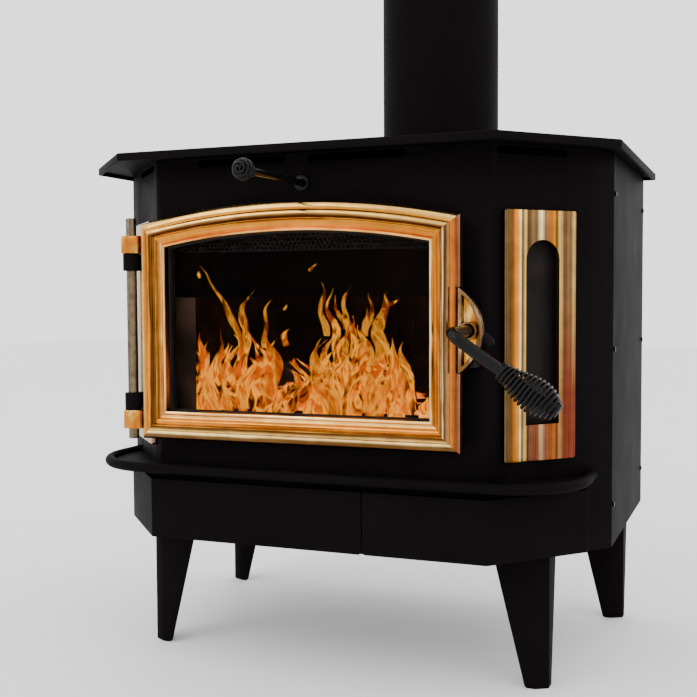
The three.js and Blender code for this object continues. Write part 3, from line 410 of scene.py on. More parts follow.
def folded_sheet(name, path, bottom, top, thickness, bend=0.0):
    """Sheet metal folded along a plan path; its outer face is to the right of the path."""
    clear_selection()
    bpy.ops.mesh.primitive_plane_add(size=1)
    obj = take(name)
    places = [at(*path[0], bottom), at(*path[1], bottom), at(*path[0], top), at(*path[1], top)]
    for vertex, place in zip(obj.data.vertices, places):
        vertex.co = place
    for here, there in zip(path[1:], path[2:]):
        spot = at(*here, 0)
        pick_edges(obj, lambda p, q: (p.xy - spot.xy).length < 1e-5 and (q.xy - spot.xy).length < 1e-5)
        extrude_picked(at(*there, 0) - spot)
        done()
    if bend:
        for before, here, after in zip(path, path[1:], path[2:]):
            spot = at(*here, 0)
            turn = (Vector(here) - Vector(before)).angle(Vector(after) - Vector(here))
            pick_edges(obj, lambda p, q: (p.xy - spot.xy).length < 1e-5 and (q.xy - spot.xy).length < 1e-5)
            bpy.ops.mesh.bevel(offset=bend * MM * math.tan(turn / 2), segments=7, affect="EDGES")
            done()
    return apply_modifier(obj, "SOLIDIFY", thickness=thickness * MM, offset=-1, use_even_offset=True)


def wire(name, places, radius, sides=3, radii=None, closed=False, round_ends=True):
    """A round wire or bar along a path, closed at its ends."""
    clear_selection()
    bpy.ops.curve.primitive_bezier_curve_add()
    obj = take(name)
    curve = obj.data
    curve.splines.clear()
    spline = curve.splines.new("POLY")
    spline.points.add(len(places) - 1)
    for i, (point, place) in enumerate(zip(spline.points, places)):
        point.co = (*place, 1)
        point.radius = radii[i] if radii else 1
    spline.use_cyclic_u = closed
    curve.dimensions = "3D"
    curve.twist_mode = "MINIMUM"
    curve.bevel_depth = radius * MM
    curve.bevel_resolution = sides
    curve.use_fill_caps = round_ends and not closed
    obj.location = (0, 0, 0)
    use(obj)
    bpy.ops.object.convert(target="MESH")
    return recalculated(obj)


def refined(node, width, segments=2):
    """A copy of a CAD node, merged, cleared of loose edges on its flats, and with rounded edges."""
    use(frame["nodes"][node])
    bpy.ops.object.duplicate()
    obj = take(node + "_piece")
    bpy.ops.object.parent_clear(type="CLEAR_KEEP_TRANSFORM")
    settle(obj)
    recalculated(obj)
    bpy.ops.object.mode_set(mode="EDIT")
    bpy.ops.mesh.select_all(action="SELECT")
    bpy.ops.mesh.dissolve_limited(angle_limit=math.radians(1))
    done()
    return soften(obj, width, segments)


def finish_piece(obj, body, finishes, *nodes, angle=35):
    """Shading, finishes, body and the CAD nodes that a piece stands for."""
    recalculated(obj)
    bpy.ops.object.shade_smooth_by_angle(angle=math.radians(angle))
    names = [finishes] if isinstance(finishes, str) else finishes
    obj.data.materials.clear()
    for name in names:
        obj.data.materials.append(finish_of(name))
    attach(obj, body)
    if nodes:
        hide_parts(*nodes)
    return obj


def refine_node(name, body, finish, width, segments=2):
    """Stands a refined copy in for a CAD node."""
    return finish_piece(refined(name, width, segments), body, finish, name)


def dress(node, finish):
    """Gives a carried-over CAD node its finish."""
    mesh = frame["nodes"][node].data
    mesh.materials.clear()
    mesh.materials.append(finish)


# ---- Finishes ----
def new_finish(name, metallic=0.0, roughness=0.5, specular=0.5, base=None):
    """An empty finish with its shader, ready for patterns."""
    finish = bpy.data.materials.new(name)
    finish.use_nodes = True
    shader = finish.node_tree.nodes["Principled BSDF"]
    shader.inputs["Metallic"].default_value = metallic
    shader.inputs["Roughness"].default_value = roughness
    shader.inputs["Specular IOR Level"].default_value = specular
    if base:
        shader.inputs["Base Color"].default_value = (*base[:3], 1)
    finish.diffuse_color = (*(base or (0.5, 0.5, 0.5))[:3], 1)
    return finish, shader


def node(finish, kind, **values):
    """One shader node with some of its settings and inputs filled in."""
    made = finish.node_tree.nodes.new(kind)
    for key, value in values.items():
        if key in made.inputs:
            made.inputs[key].default_value = value
        else:
            setattr(made, key, value)
    return made


def link(finish, source, target):
    """Joins an output to an input."""
    finish.node_tree.links.new(source, target)


def feed(shader, name, source):
    """Joins an output to one of the shader's inputs."""
    shader.id_data.links.new(source, shader.inputs[name])


def placed(finish, stretch=(1, 1, 1), source="Object"):
    """Stretched coordinates: the object's own, or those of a piece's surface map."""
    coordinates = node(finish, "ShaderNodeTexCoord")
    mapping = node(finish, "ShaderNodeMapping", Scale=stretch)
    link(finish, coordinates.outputs[source], mapping.inputs["Vector"])
    return mapping.outputs["Vector"]


def noise(finish, scale, detail=4.0, stretch=(1, 1, 1), distortion=0.0, rough=0.55, source="Object"):
    """Cloudy noise, as a factor from 0 to 1."""
    made = node(finish, "ShaderNodeTexNoise", Scale=scale, Detail=detail, Distortion=distortion, Roughness=rough)
    link(finish, placed(finish, stretch, source), made.inputs["Vector"])
    return made.outputs["Fac"]


def mapped_noise(finish, stretch, detail, distortion):
    """Cloudy noise over a piece's own surface map."""
    return noise(finish, 1.0, detail, stretch, distortion, 0.5, "UV")


def clouds(finish, pattern, stops):
    """Colours or greys over a noise, whose settings are given in its own order."""
    return ramp(finish, noise(finish, *pattern), stops)


def graded(finish, source, low, high):
    """A factor that runs from 0 at one value to 1 at another."""
    made = node(finish, "ShaderNodeMapRange", **{"From Min": low, "From Max": high})
    link(finish, source, made.inputs["Value"])
    return made.outputs["Result"]


def ramp(finish, source, stops):
    """Colours or greys over a factor; each stop is a position and a colour or grey."""
    made = node(finish, "ShaderNodeValToRGB")
    elements = made.color_ramp.elements
    while len(elements) < len(stops):
        elements.new(0.5)
    for element, (position, value) in zip(elements, stops):
        element.position = position
        grey = isinstance(value, (int, float))
        element.color = (value, value, value, 1) if grey else (*value[:3], 1)
    link(finish, source, made.inputs["Fac"])
    return made.outputs["Color"]


def mixed(finish, factor, a, b, mode="MIX"):
    """Two colours mixed by a factor; each may be a link, a colour or a grey."""
    made = node(finish, "ShaderNodeMix", data_type="RGBA", blend_type=mode)
    for socket, value in ((made.inputs[0], factor), (made.inputs[6], a), (made.inputs[7], b)):
        if isinstance(value, bpy.types.NodeSocket):
            link(finish, value, socket)
        elif isinstance(value, (int, float)):
            socket.default_value = value if socket.type == "VALUE" else (value, value, value, 1)
        else:
            socket.default_value = (*value[:3], 1)
    return made.outputs[2]


def bumped(finish, shader, height, strength, distance=0.001, below=None):
    """Adds relief to a shader, over earlier relief if there is any."""
    made = node(finish, "ShaderNodeBump", Strength=strength, Distance=distance)
    link(finish, height, made.inputs["Height"])
    if below:
        link(finish, below, made.inputs["Normal"])
    feed(shader, "Normal", made.outputs["Normal"])
    return made.outputs["Normal"]


def scaled(colour, factor):
    """A colour made lighter or darker."""
    return tuple(min(1.0, part * factor) for part in colour[:3])


FINISHES = {}


def finish_of(name):
    """A finish by name, made the first time it is asked for."""
    if name not in FINISHES:
        FINISHES[name] = FINISH_MAKERS[name](bpy.context.scene.stove_finishes)
    return FINISHES[name]


def make_black_paint(colours):
    """Stove paint: nearly black, slightly purple-brown, with a fine dry grain and rubbed patches."""
    finish, shader = new_finish("stove_paint", 0.0, 0.6, 0.018, colours.paint)
    patches = noise(finish, 5, 5, distortion=0.4)
    tint = ramp(finish, patches, [(0.3, scaled(colours.paint, 0.85)), (0.7, scaled(colours.paint, 1.15))])
    specks = clouds(finish, (900, 2), [(0.35, 0.72), (0.75, 1.25)])
    feed(shader, "Base Color", mixed(finish, 1.0, tint, specks, "MULTIPLY"))
    feed(shader, "Roughness", clouds(finish, (14, 6), [(0.3, 0.56), (0.7, 0.64)]))
    fine = bumped(finish, shader, noise(finish, 1400, 3), 0.22, 0.00025)
    bumped(finish, shader, noise(finish, 26, 3), 0.03, 0.0008, fine)
    return finish


def make_plate_steel(colours):
    """Bare plate, blackened by heat, with brownish bloom and mill streaks."""
    finish, shader = new_finish("hot_plate", 0.2, 0.6, 0.12, colours.plate)
    bloom = clouds(finish, (9, 6, (1, 1, 1), 1.0), [
        (0.25, scaled(colours.plate, 0.55)), (0.55, colours.plate), (0.8, (0.026, 0.016, 0.011)),
    ])
    streak = clouds(finish, (60, 3, (1, 1, 0.08)), [(0.3, 0.75), (0.75, 1.2)])
    feed(shader, "Base Color", mixed(finish, 1.0, bloom, streak, "MULTIPLY"))
    feed(shader, "Roughness", clouds(finish, (30, 5), [(0.3, 0.5), (0.75, 0.78)]))
    bumped(finish, shader, noise(finish, 420, 4), 0.2, 0.0004)
    return finish


def map_part(finish, index):
    """One of the two coordinates of a piece's surface map."""
    coordinates = node(finish, "ShaderNodeTexCoord")
    split = node(finish, "ShaderNodeSeparateXYZ")
    link(finish, coordinates.outputs["UV"], split.inputs["Vector"])
    return split.outputs[index]


def wavering(finish, source, sway, amount):
    """A factor pushed to and fro a little by a noise."""
    centred = node(finish, "ShaderNodeMath", operation="MULTIPLY_ADD")
    link(finish, sway, centred.inputs[0])
    centred.inputs[1].default_value = amount
    centred.inputs[2].default_value = -amount / 2
    added = node(finish, "ShaderNodeMath", operation="ADD", use_clamp=True)
    link(finish, source, added.inputs[0])
    link(finish, centred.outputs[0], added.inputs[1])
    return added.outputs[0]


def polish(finish, shader, tone, along):
    """Last touches of polished brass: clouding, gloss, and long shallow waves."""
    film = clouds(finish, (45, 5), [(0.3, 0.8), (0.7, 1.15)])
    feed(shader, "Base Color", mixed(finish, 1.0, tone, film, "MULTIPLY"))
    feed(shader, "Roughness", clouds(finish, (60, 4, along), [(0.3, 0.12), (0.7, 0.27)]))
    waves = bumped(finish, shader, noise(finish, 30, 3, along), 0.12, 0.002)
    bumped(finish, shader, noise(finish, 170, 3), 0.04, 0.0006, waves)
    return finish


def trim_maker(side, tones, along):
    """Brass moulding whose painted reflection bands follow its profile, outer edge first, with painted dark and bright
    reflection streaks and painted highlight patches along it.
    """
    def make(colours):
        finish, shader = new_finish("trim_" + side, 1.0, 0.2, 0.5, colours.brass)
        shades = brass_shades(colours)
        across = wavering(finish, map_part(finish, 1), mapped_noise(finish, (9, 2.5, 1), 3, 0.6), 0.13)
        # Painted reflection bands across the profile.
        bands = ramp(finish, across, [(place, shades[tone]) for place, tone in tones])
        streaks = mapped_noise(finish, (3.5, 9, 1), 4, 0.6)
        # Painted dark reflection streaks, and painted bright ones where the ramp goes above 1.
        dark = ramp(finish, streaks, [(0.3, (0.30, 0.19, 0.12)), (0.42, 0.95), (0.58, 1.0), (0.66, (1.45, 1.35, 1.15))])
        # Painted highlight patches along the moulding.
        hot = ramp(finish, mapped_noise(finish, (7, 1.6, 1), 3, 0.3), [
            (0.4, (0.92, 0.82, 0.66)), (0.62, (1.2, 1.16, 1.05)),
        ])
        tone = mixed(finish, 1.0, mixed(finish, 0.8, bands, dark, "MULTIPLY"), hot, "MULTIPLY")
        return polish(finish, shader, tone, along)
    return make


def brass_shades(colours):
    """Named tones of the brass, from the four set colours; cream is a painted highlight, dark and soot are painted dark
    reflections, and red is a painted red reflection.
    """
    return {
        "cream": colours.brass_highlight, "pale": (0.74, 0.46, 0.13), "gold": colours.brass,
        "orange": (0.46, 0.135, 0.011), "amber": (0.64, 0.23, 0.020), "brown": (0.14, 0.058, 0.016),
        "dark": colours.brass_dark_reflection, "olive": (0.125, 0.072, 0.024), "red": (0.155, 0.045, 0.020),
        # The soot tone is no soot but a painted dark reflection, on the bottom trim's outer edge.
        "pink": (0.30, 0.12, 0.07), "tan": (0.21, 0.115, 0.055), "soot": (0.030, 0.014, 0.006),
    }


def make_grille_brass(colours):
    """Brass plate with upright painted reflection streaks, each its own colour, and a painted red reflection towards
    the far lower corner.
    """
    finish, shader = new_finish("grille_brass", 1.0, 0.2, 0.5, colours.brass)
    shades = brass_shades(colours)
    sway = mapped_noise(finish, (3, 2.2, 1), 3, 0.4)
    across = wavering(finish, map_part(finish, 0), sway, 0.035)
    # Painted reflection streaks across the plate, one colour per stop:
    tones = (
        (0.0, "tan"), (0.02, "olive"), (0.10, "brown"), (0.125, "orange"), (0.18, "amber"), (0.215, "cream"),
        (0.235, "dark"), (0.28, "pale"), (0.315, "dark"), (0.36, "tan"), (0.44, "olive"), (0.50, "cream"),
        (0.56, "tan"), (0.66, "orange"), (0.70, "amber"), (0.725, "dark"), (0.77, "pale"), (0.83, "brown"),
        (0.89, "tan"), (0.92, "olive"), (0.96, "pale"), (1.0, "tan"),
    )
    bands = ramp(finish, across, [(place, shades[tone]) for place, tone in tones])
    # Painted red reflection, strongest towards the far lower corner.
    low_down = graded(finish, map_part(finish, 1), 0.60, 0.44)
    right = ramp(finish, across, [(0.28, 0.0), (0.42, 0.75), (0.6, 0.55), (0.78, 0.6), (0.88, 1.0)])
    redness = mixed(finish, 1.0, low_down, right, "MULTIPLY")
    red = mixed(finish, 0.72, bands, mixed(finish, 0.5, colours.brass_red_reflection, bands, "MULTIPLY"))
    reddened = mixed(finish, redness, bands, mixed(finish, 0.8, red, colours.brass_red_reflection))
    # Fine painted reflection streaks.
    streaks = mapped_noise(finish, (60, 2.5, 1), 4, 0.3)
    fine = ramp(finish, streaks, [(0.35, 0.34), (0.5, 0.74), (0.66, (1.0, 0.94, 0.85))])
    return polish(finish, shader, mixed(finish, 0.8, reddened, fine, "MULTIPLY"), (1, 1, 0.08))


def make_brass_plain(colours):
    """Small brass castings, clouded from gold to copper."""
    finish, shader = new_finish("small_brass", 1.0, 0.22, 0.5, colours.brass)
    shades = brass_shades(colours)
    hue = clouds(finish, (40, 5, (1, 1, 0.5), 0.6), [
        (0.32, shades["brown"]), (0.42, shades["orange"]), (0.52, shades["gold"]), (0.6, shades["pale"]),
        (0.68, shades["tan"]),
    ])
    return polish(finish, shader, hue, (1, 1, 0.5))


def make_brass_rim(colours):
    """Olive and pewter small brass: a painted reflection, on the latch boss's rim and sides and on its bushing."""
    finish, shader = new_finish("brass_rim_reflection", 1.0, 0.24, 0.5, colours.brass)
    shades = brass_shades(colours)
    hue = clouds(finish, (55, 5, (1, 1, 0.6), 0.6), [
        (0.34, shades["brown"]), (0.44, shades["olive"]), (0.54, shades["tan"]), (0.64, (0.5, 0.37, 0.2)),
    ])
    return polish(finish, shader, hue, (1, 1, 0.5))


def make_black_rod(colours):
    """Satin black steel bar, with faint drawn lines."""
    finish, shader = new_finish("black_bar", 0.0, 0.22, 0.12, colours.rod)
    tint = clouds(finish, (40, 5), [(0.3, scaled(colours.rod, 0.7)), (0.7, scaled(colours.rod, 1.5))])
    feed(shader, "Base Color", tint)
    feed(shader, "Roughness", clouds(finish, (120, 4), [(0.3, 0.16), (0.7, 0.34)]))
    bumped(finish, shader, noise(finish, 500, 4), 0.14, 0.0003)
    return finish


def make_nickel(colours):
    """Dull plated bar, drawn lengthwise and spotted with age."""
    finish, shader = new_finish("dull_plating", 1.0, 0.3, 0.5, colours.nickel)
    drawn = clouds(finish, (260, 5, (1, 1, 0.02)), [
        (0.3, scaled(colours.nickel, 0.6)), (0.55, colours.nickel), (0.8, scaled(colours.nickel, 1.5)),
    ])
    spots = clouds(finish, (90, 5), [(0.35, 0.6), (0.55, 1.0)])
    feed(shader, "Base Color", mixed(finish, 1.0, drawn, spots, "MULTIPLY"))
    feed(shader, "Roughness", clouds(finish, (70, 4, (1, 1, 0.1)), [(0.3, 0.22), (0.7, 0.42)]))
    bumped(finish, shader, noise(finish, 400, 3, (1, 1, 0.05)), 0.08, 0.0003)
    return finish


def make_cast_iron(colours):
    """Sand-cast iron: grainy, matte and uneven."""
    finish, shader = new_finish("iron_casting", 0.1, 0.68, 0.12, colours.iron)
    tint = clouds(finish, (55, 6), [(0.3, scaled(colours.iron, 0.6)), (0.7, scaled(colours.iron, 1.6))])
    feed(shader, "Base Color", tint)
    feed(shader, "Roughness", clouds(finish, (25, 5), [(0.3, 0.58), (0.75, 0.8)]))
    grain = bumped(finish, shader, noise(finish, 700, 5), 0.4, 0.0006)
    bumped(finish, shader, noise(finish, 60, 4), 0.15, 0.0015, grain)
    return finish


def make_firebrick(colours):
    """Fired clay, sooty in patches, with pits and pale scuffs."""
    finish, shader = new_finish("firebrick", 0.0, 0.92, 0.05, colours.brick)
    clay = clouds(finish, (22, 6), [(0.3, scaled(colours.brick, 0.6)), (0.7, scaled(colours.brick, 1.35))])
    soot = clouds(finish, (7, 5, (1, 1, 1), 0.8), [(0.38, 0.25), (0.62, 1.0)])
    dark = mixed(finish, 1.0, clay, soot, "MULTIPLY")
    pits = clouds(finish, (300, 4), [(0.3, 0.55), (0.5, 1.0)])
    feed(shader, "Base Color", mixed(finish, 1.0, dark, pits, "MULTIPLY"))
    grain = bumped(finish, shader, noise(finish, 380, 5), 0.5, 0.0007)
    bumped(finish, shader, noise(finish, 30, 4), 0.2, 0.002, grain)
    return finish


def make_glass(colours):
    """Clear ceramic glass, thin enough to see through, faintly smoked in patches."""
    finish, shader = new_finish("clear_ceramic", 0.0, 0.04, 0.05, colours.glass)
    shader.inputs["Alpha"].default_value = 0.1
    haze = clouds(finish, (12, 5), [(0.3, scaled(colours.glass, 0.6)), (0.75, scaled(colours.glass, 1.6))])
    feed(shader, "Base Color", haze)
    feed(shader, "Roughness", clouds(finish, (18, 4), [(0.35, 0.03), (0.75, 0.12)]))
    return finish


def make_rope(colours):
    """Braided glass-fibre rope: crossing strands, grey with soot."""
    finish, shader = new_finish("braid", 0.0, 0.95, 0.1, colours.rope)
    crossing = []
    for lean in (1, -1):
        wave = node(finish, "ShaderNodeTexWave", Scale=90.0, Distortion=0.6, bands_direction="DIAGONAL")
        link(finish, placed(finish, (lean, 1, 1)), wave.inputs["Vector"])
        crossing.append(wave.outputs["Color"])
    strands = mixed(finish, 0.5, *crossing)
    tint = ramp(finish, strands, [(0.2, scaled(colours.rope, 0.45)), (0.8, scaled(colours.rope, 1.5))])
    soot = clouds(finish, (20, 5), [(0.35, 0.6), (0.7, 1.0)])
    feed(shader, "Base Color", mixed(finish, 1.0, tint, soot, "MULTIPLY"))
    fuzz = bumped(finish, shader, noise(finish, 900, 3), 0.4, 0.0004)
    bumped(finish, shader, strands, 0.7, 0.001, fuzz)
    return finish


def make_board(colours):
    """Fibre board of the baffle: pale, fuzzy and smoke-stained."""
    finish, shader = new_finish("fibre_board", 0.0, 0.95, 0.1, colours.board)
    stain = clouds(finish, (8, 6, (1, 1, 1), 1.0), [(0.35, scaled(colours.board, 0.25)), (0.65, colours.board)])
    fibres = clouds(finish, (240, 4, (1, 0.2, 1)), [(0.3, 0.75), (0.7, 1.1)])
    feed(shader, "Base Color", mixed(finish, 1.0, stain, fibres, "MULTIPLY"))
    bumped(finish, shader, noise(finish, 320, 5), 0.5, 0.0006)
    return finish


def make_bark(colours):
    """Charred split wood: black, cracked along the grain, glowing in the cracks."""
    finish, shader = new_finish("charred_wood", 0.0, 0.9, 0.2, colours.char)
    grain = noise(finish, 60, 6, (0.12, 1, 1), 0.5)
    feed(shader, "Base Color", ramp(finish, grain, [
        (0.3, scaled(colours.char, 0.4)), (0.7, scaled(colours.char, 2.2)),
    ]))
    cracks = clouds(finish, (34, 5, (0.25, 1, 1), 1.2), [(0.38, 1.0), (0.44, 0.0)])
    glow = mixed(finish, cracks, (0.0, 0.0, 0.0), colours.ember)
    feed(shader, "Emission Color", glow)
    shader.inputs["Emission Strength"].default_value = 1.6
    bumped(finish, shader, grain, 0.9, 0.004)
    return finish


def make_embers(colours):
    """The bed of coals: grey ash over orange glow."""
    finish, shader = new_finish("coals", 0.0, 0.95, 0.1, (0.05, 0.045, 0.042))
    lumps = noise(finish, 55, 5, distortion=0.4)
    feed(shader, "Base Color", ramp(finish, lumps, [(0.35, (0.02, 0.016, 0.014)), (0.7, (0.16, 0.14, 0.13))]))
    heat = clouds(finish, (26, 5, (1, 1, 1), 0.8), [
        (0.4, (0.0, 0.0, 0.0)), (0.5, scaled(colours.ember, 0.7)), (0.64, (1.0, 0.42, 0.08)),
    ])
    feed(shader, "Emission Color", heat)
    shader.inputs["Emission Strength"].default_value = 2.2
    bumped(finish, shader, lumps, 0.9, 0.006)
    return finish


def flame_maker(name, alpha, strength, low, high, tints):
    """Burning gas: bright threads in an orange body, redder and darker towards its tip."""
    def make(colours):
        finish, shader = new_finish(name, 0.0, 1.0, 0.0, (0.0, 0.0, 0.0))
        shader.inputs["Alpha"].default_value = alpha
        shader.inputs["Emission Strength"].default_value = strength
        place = node(finish, "ShaderNodeSeparateXYZ")
        link(finish, placed(finish), place.inputs["Vector"])
        height = graded(finish, place.outputs["Z"], low, high)
        body = wavering(finish, height, noise(finish, 20, 4, (1, 1, 0.5), 1.5), 0.75)
        heat = ramp(finish, body, tints(colours))
        curl = noise(finish, 15, 3, (1, 1, 0.5), 2.6)
        threads = ramp(finish, curl, [(0.42, 0.0), (0.49, 1.0), (0.505, 1.0), (0.58, 0.0)])
        gaps = clouds(finish, (22, 4, (1, 1, 0.5), 2.0), [(0.38, 0.05), (0.53, 1.0)])
        lit = mixed(finish, 1.0, heat, gaps, "MULTIPLY")
        pale = mixed(finish, 0.6, heat, colours.flame_edge)
        feed(shader, "Emission Color", mixed(finish, threads, lit, pale))
        return finish
    return make


FINISH_MAKERS = {
    "black_paint": make_black_paint,
    "plate_steel": make_plate_steel,
    # Each side of the door moulding has its own painted reflection bands, outer edge first.
    "trim_left": trim_maker("left", (
        (0.0, "olive"), (0.05, "cream"), (0.13, "pale"), (0.22, "gold"), (0.34, "orange"), (0.44, "amber"),
        (0.50, "dark"), (0.56, "brown"), (0.63, "gold"), (0.71, "brown"), (0.8, "amber"), (0.9, "cream"),
        (1.0, "brown"),
    ), (1, 1, 0.08)),
    "trim_right": trim_maker("right", (
        (0.0, "pink"), (0.1, "red"), (0.24, "orange"), (0.37, "tan"), (0.46, "dark"), (0.52, "cream"), (0.6, "brown"),
        (0.7, "amber"), (0.82, "orange"), (0.9, "gold"), (0.96, "cream"), (1.0, "tan"),
    ), (1, 1, 0.08)),
    "trim_top": trim_maker("top", (
        (0.0, "cream"), (0.13, "pale"), (0.28, "gold"), (0.4, "pale"), (0.48, "brown"), (0.54, "dark"), (0.6, "gold"),
        (0.74, "amber"), (0.86, "orange"), (0.93, "amber"), (1.0, "cream"),
    ), (0.08, 1, 1)),
    # The bottom trim's soot band at its outer edge is a painted dark reflection.
    "trim_bottom": trim_maker("bottom", (
        (0.0, "soot"), (0.1, "brown"), (0.2, "olive"), (0.27, "cream"), (0.36, "pale"), (0.43, "brown"), (0.49, "dark"),
        (0.56, "gold"), (0.66, "amber"), (0.74, "orange"), (0.82, "pale"), (0.9, "cream"), (1.0, "pale"),
    ), (0.08, 1, 1)),
    "grille_brass": make_grille_brass,
    "brass_plain": make_brass_plain,
    "brass_rim": make_brass_rim,
    "black_rod": make_black_rod,
    "nickel": make_nickel,
    "cast_iron": make_cast_iron,
    "firebrick": make_firebrick,
    "ceramic_glass": make_glass,
    "rope": make_rope,
    "baffle_board": make_board,
    "charred_wood": make_bark,
    "ember": make_embers,
    "flame_core": flame_maker("flame_core", 1.0, 2.1, 0.38, 0.60, lambda c: [
        (0.0, (0.80, 0.17, 0.0)), (0.26, c.flame), (0.48, scaled(c.flame, 0.7)), (0.68, (0.24, 0.026, 0.0)),
        (0.88, (0.05, 0.005, 0.0)),
    ]),
    "flame_veil": flame_maker("flame_veil", 0.5, 2.0, 0.38, 0.64, lambda c: [
        (0.1, c.flame), (0.4, scaled(c.flame, 0.65)), (0.64, (0.18, 0.024, 0.0)), (0.9, (0.04, 0.004, 0.0)),
    ]),
}


# ---- Settings ----
def length(name, description, default):
    """A length setting, given in millimetres and kept in metres."""
    return FloatProperty(name=name, description=description, default=default * MM, unit="LENGTH", min=0.0)


def colour(name, description, default):
    """A colour setting."""
    return FloatVectorProperty(
        name=name, description=description, default=default, subtype="COLOR", size=3, min=0, max=1,
    )


def turning(name, description, default):
    """An angle setting, given in degrees."""
    return FloatProperty(name=name, description=description, default=math.radians(default), unit="ROTATION")


class StoveSizes(bpy.types.PropertyGroup):
    """Sizes of the fine details."""

    lip_round: length("Lip rounding", "Radius along the top plate's edges", 1.6)
    front_bend: length("Front bend", "Outer radius where the front meets the chamfers", 14)
    wall: length("Panel thickness", "Thickness of the cabinet's sheet", 2.5)
    rim_tube: length("Shelf rim", "Radius of the tube round the ash shelf", 8)
    grip_wire: length("Grip wire", "Radius of the wire in the handle's coil", 2.05)
    grip_turns: IntProperty(name="Grip turns", description="Turns of wire in the handle's coil", default=15, min=4)
    knob_wire: length("Knob wire", "Radius of the wire in the damper's knob", 1.9)
    screw_head: length("Screw head", "Radius of the panel screws' heads", 4)
    mesh_cell: length("Screen cell", "Width of one hexagon of the perforated screen", 7.4)
    tongues: IntProperty(name="Flames", description="Flame tongues in a full row", default=46, min=0)


class StoveFinishes(bpy.types.PropertyGroup):
    """Base colours of the finishes."""

    paint: colour("Stove paint", "Matte black paint of the cabinet", (0.0042, 0.0031, 0.0036))
    plate: colour("Plate", "Heat-blackened steel", (0.012, 0.009, 0.008))
    brass: colour("Brass", "Middle tone of the polished brass", (0.46, 0.20, 0.018))
    # Painted highlight, painted dark reflection and painted red reflection of the brass's bands and streaks:
    brass_highlight: colour("Brass, light", "Palest streaks of the brass", (1.0, 0.72, 0.34))
    brass_dark_reflection: colour("Brass, dark", "Darkest streaks of the brass", (0.045, 0.018, 0.005))
    brass_red_reflection: colour("Brass, red", "Copper-red streaks of the brass", (0.19, 0.030, 0.016))
    rod: colour("Black bar", "Handle and damper rods", (0.0028, 0.0026, 0.0027))
    nickel: colour("Plating", "Hinge rod", (0.15, 0.115, 0.075))
    iron: colour("Iron", "Door casting, cam and log bar", (0.008, 0.007, 0.0065))
    brick: colour("Firebrick", "Clay of the lining", (0.050, 0.026, 0.016))
    glass: colour("Glass", "Tint of the door's glass", (0.004, 0.003, 0.003))
    rope: colour("Rope", "Door seal", (0.16, 0.15, 0.14))
    board: colour("Baffle board", "Fibre board over the fire", (0.42, 0.39, 0.35))
    char: colour("Char", "Burnt wood", (0.012, 0.009, 0.007))
    ember: colour("Ember", "Glow of the coals", (1.0, 0.19, 0.02))
    flame: colour("Flame", "Middle tone of the flames", (0.56, 0.078, 0.0))
    flame_edge: colour("Flame threads", "Pale threads in the flames", (1.0, 0.40, 0.012))


class StoveStage(bpy.types.PropertyGroup):
    """Camera, floor and lights."""

    lens: FloatProperty(name="Lens", description="Focal length of the camera", default=55.41, min=10, unit="CAMERA")
    eye: FloatVectorProperty(
        name="Eye", description="Place of the camera", default=(0.6328, -1.6422, 0.5839), subtype="TRANSLATION",
    )
    yaw: turning("Yaw", "Turn of the camera to the left", 21.5)
    pitch: turning("Pitch", "Tilt of the camera downwards", 3.0)
    roll: turning("Roll", "Roll of the camera", -0.3)
    floor: colour("Floor", "Pale studio floor", (0.90, 0.90, 0.90))
    sky: FloatProperty(name="Sky", description="Strength of the even studio light", default=2.0, min=0)
    key: FloatProperty(name="Key light", description="Power of the large soft lamp", default=28.0, min=0)


# ---- Cabinet ----
class STOVE_OT_top_plate(bpy.types.Operator):
    """Top plate with its turned-down lip, open round the flue collar"""

    bl_idname = "stove.top_plate"
    bl_label = "Top Plate"

    def execute(self, context):
        sizes = context.scene.stove_sizes
        obj = plan_plate("top_plate_piece", plan(*OVERHANG), TOP - LIP_DROP, TOP)
        pick_faces(obj, lambda middle, normal: normal.z < -0.9)
        bpy.ops.mesh.inset(thickness=LIP_WIDTH * MM, use_even_offset=True)
        extrude_picked((0, 0, (LIP_DROP - TOP_PLATE) * MM))
        done()
        recalculated(obj)
        cut(obj, flue_rod("collar_hole", TOP - 30, TOP + 30, 104.6, 96))
        soften(obj, sizes.lip_round / MM, 3)
        finish_piece(obj, "stove", "black_paint", "top_plate")
        return {"FINISHED"}


def flue_rod(name, low, high, radius, sides=128):
    """A round bar on the flue's axis."""
    return rod(name, at(FLUE_X, FLUE_Y, low), at(FLUE_X, FLUE_Y, high), radius, sides)


def slot_points(x0, x1, z0, z1, radius, steps=8):
    """A rectangle with rounded corners, in front view."""
    points = []
    for x, z, start in ((x1 - radius, z0 + radius, -90), (x1 - radius, z1 - radius, 0),
                        (x0 + radius, z1 - radius, 90), (x0 + radius, z0 + radius, 180)):
        for i in range(steps + 1):
            angle = math.radians(start + 90 * i / steps)
            points.append((x + radius * math.cos(angle), z + radius * math.sin(angle)))
    return points


def arched_points(centre, width, bottom, top, steps=28):
    """A slot with a flat bottom and a round top."""
    radius = width / 2
    points = [(centre - radius, bottom), (centre + radius, bottom)]
    for i in range(steps + 1):
        angle = math.pi * i / steps
        points.append((centre + radius * math.cos(angle), top - radius + radius * math.sin(angle)))
    return points


def chamfer_plate(name, points, outer, inner, side=1):
    """An outline drawn on a chamfer, between two distances outwards from it."""
    thickness = on_chamfer(0, inner, 0, side) - on_chamfer(0, outer, 0, side)
    return plate(name, [on_chamfer(s, outer, z, side) for s, z in points], thickness)


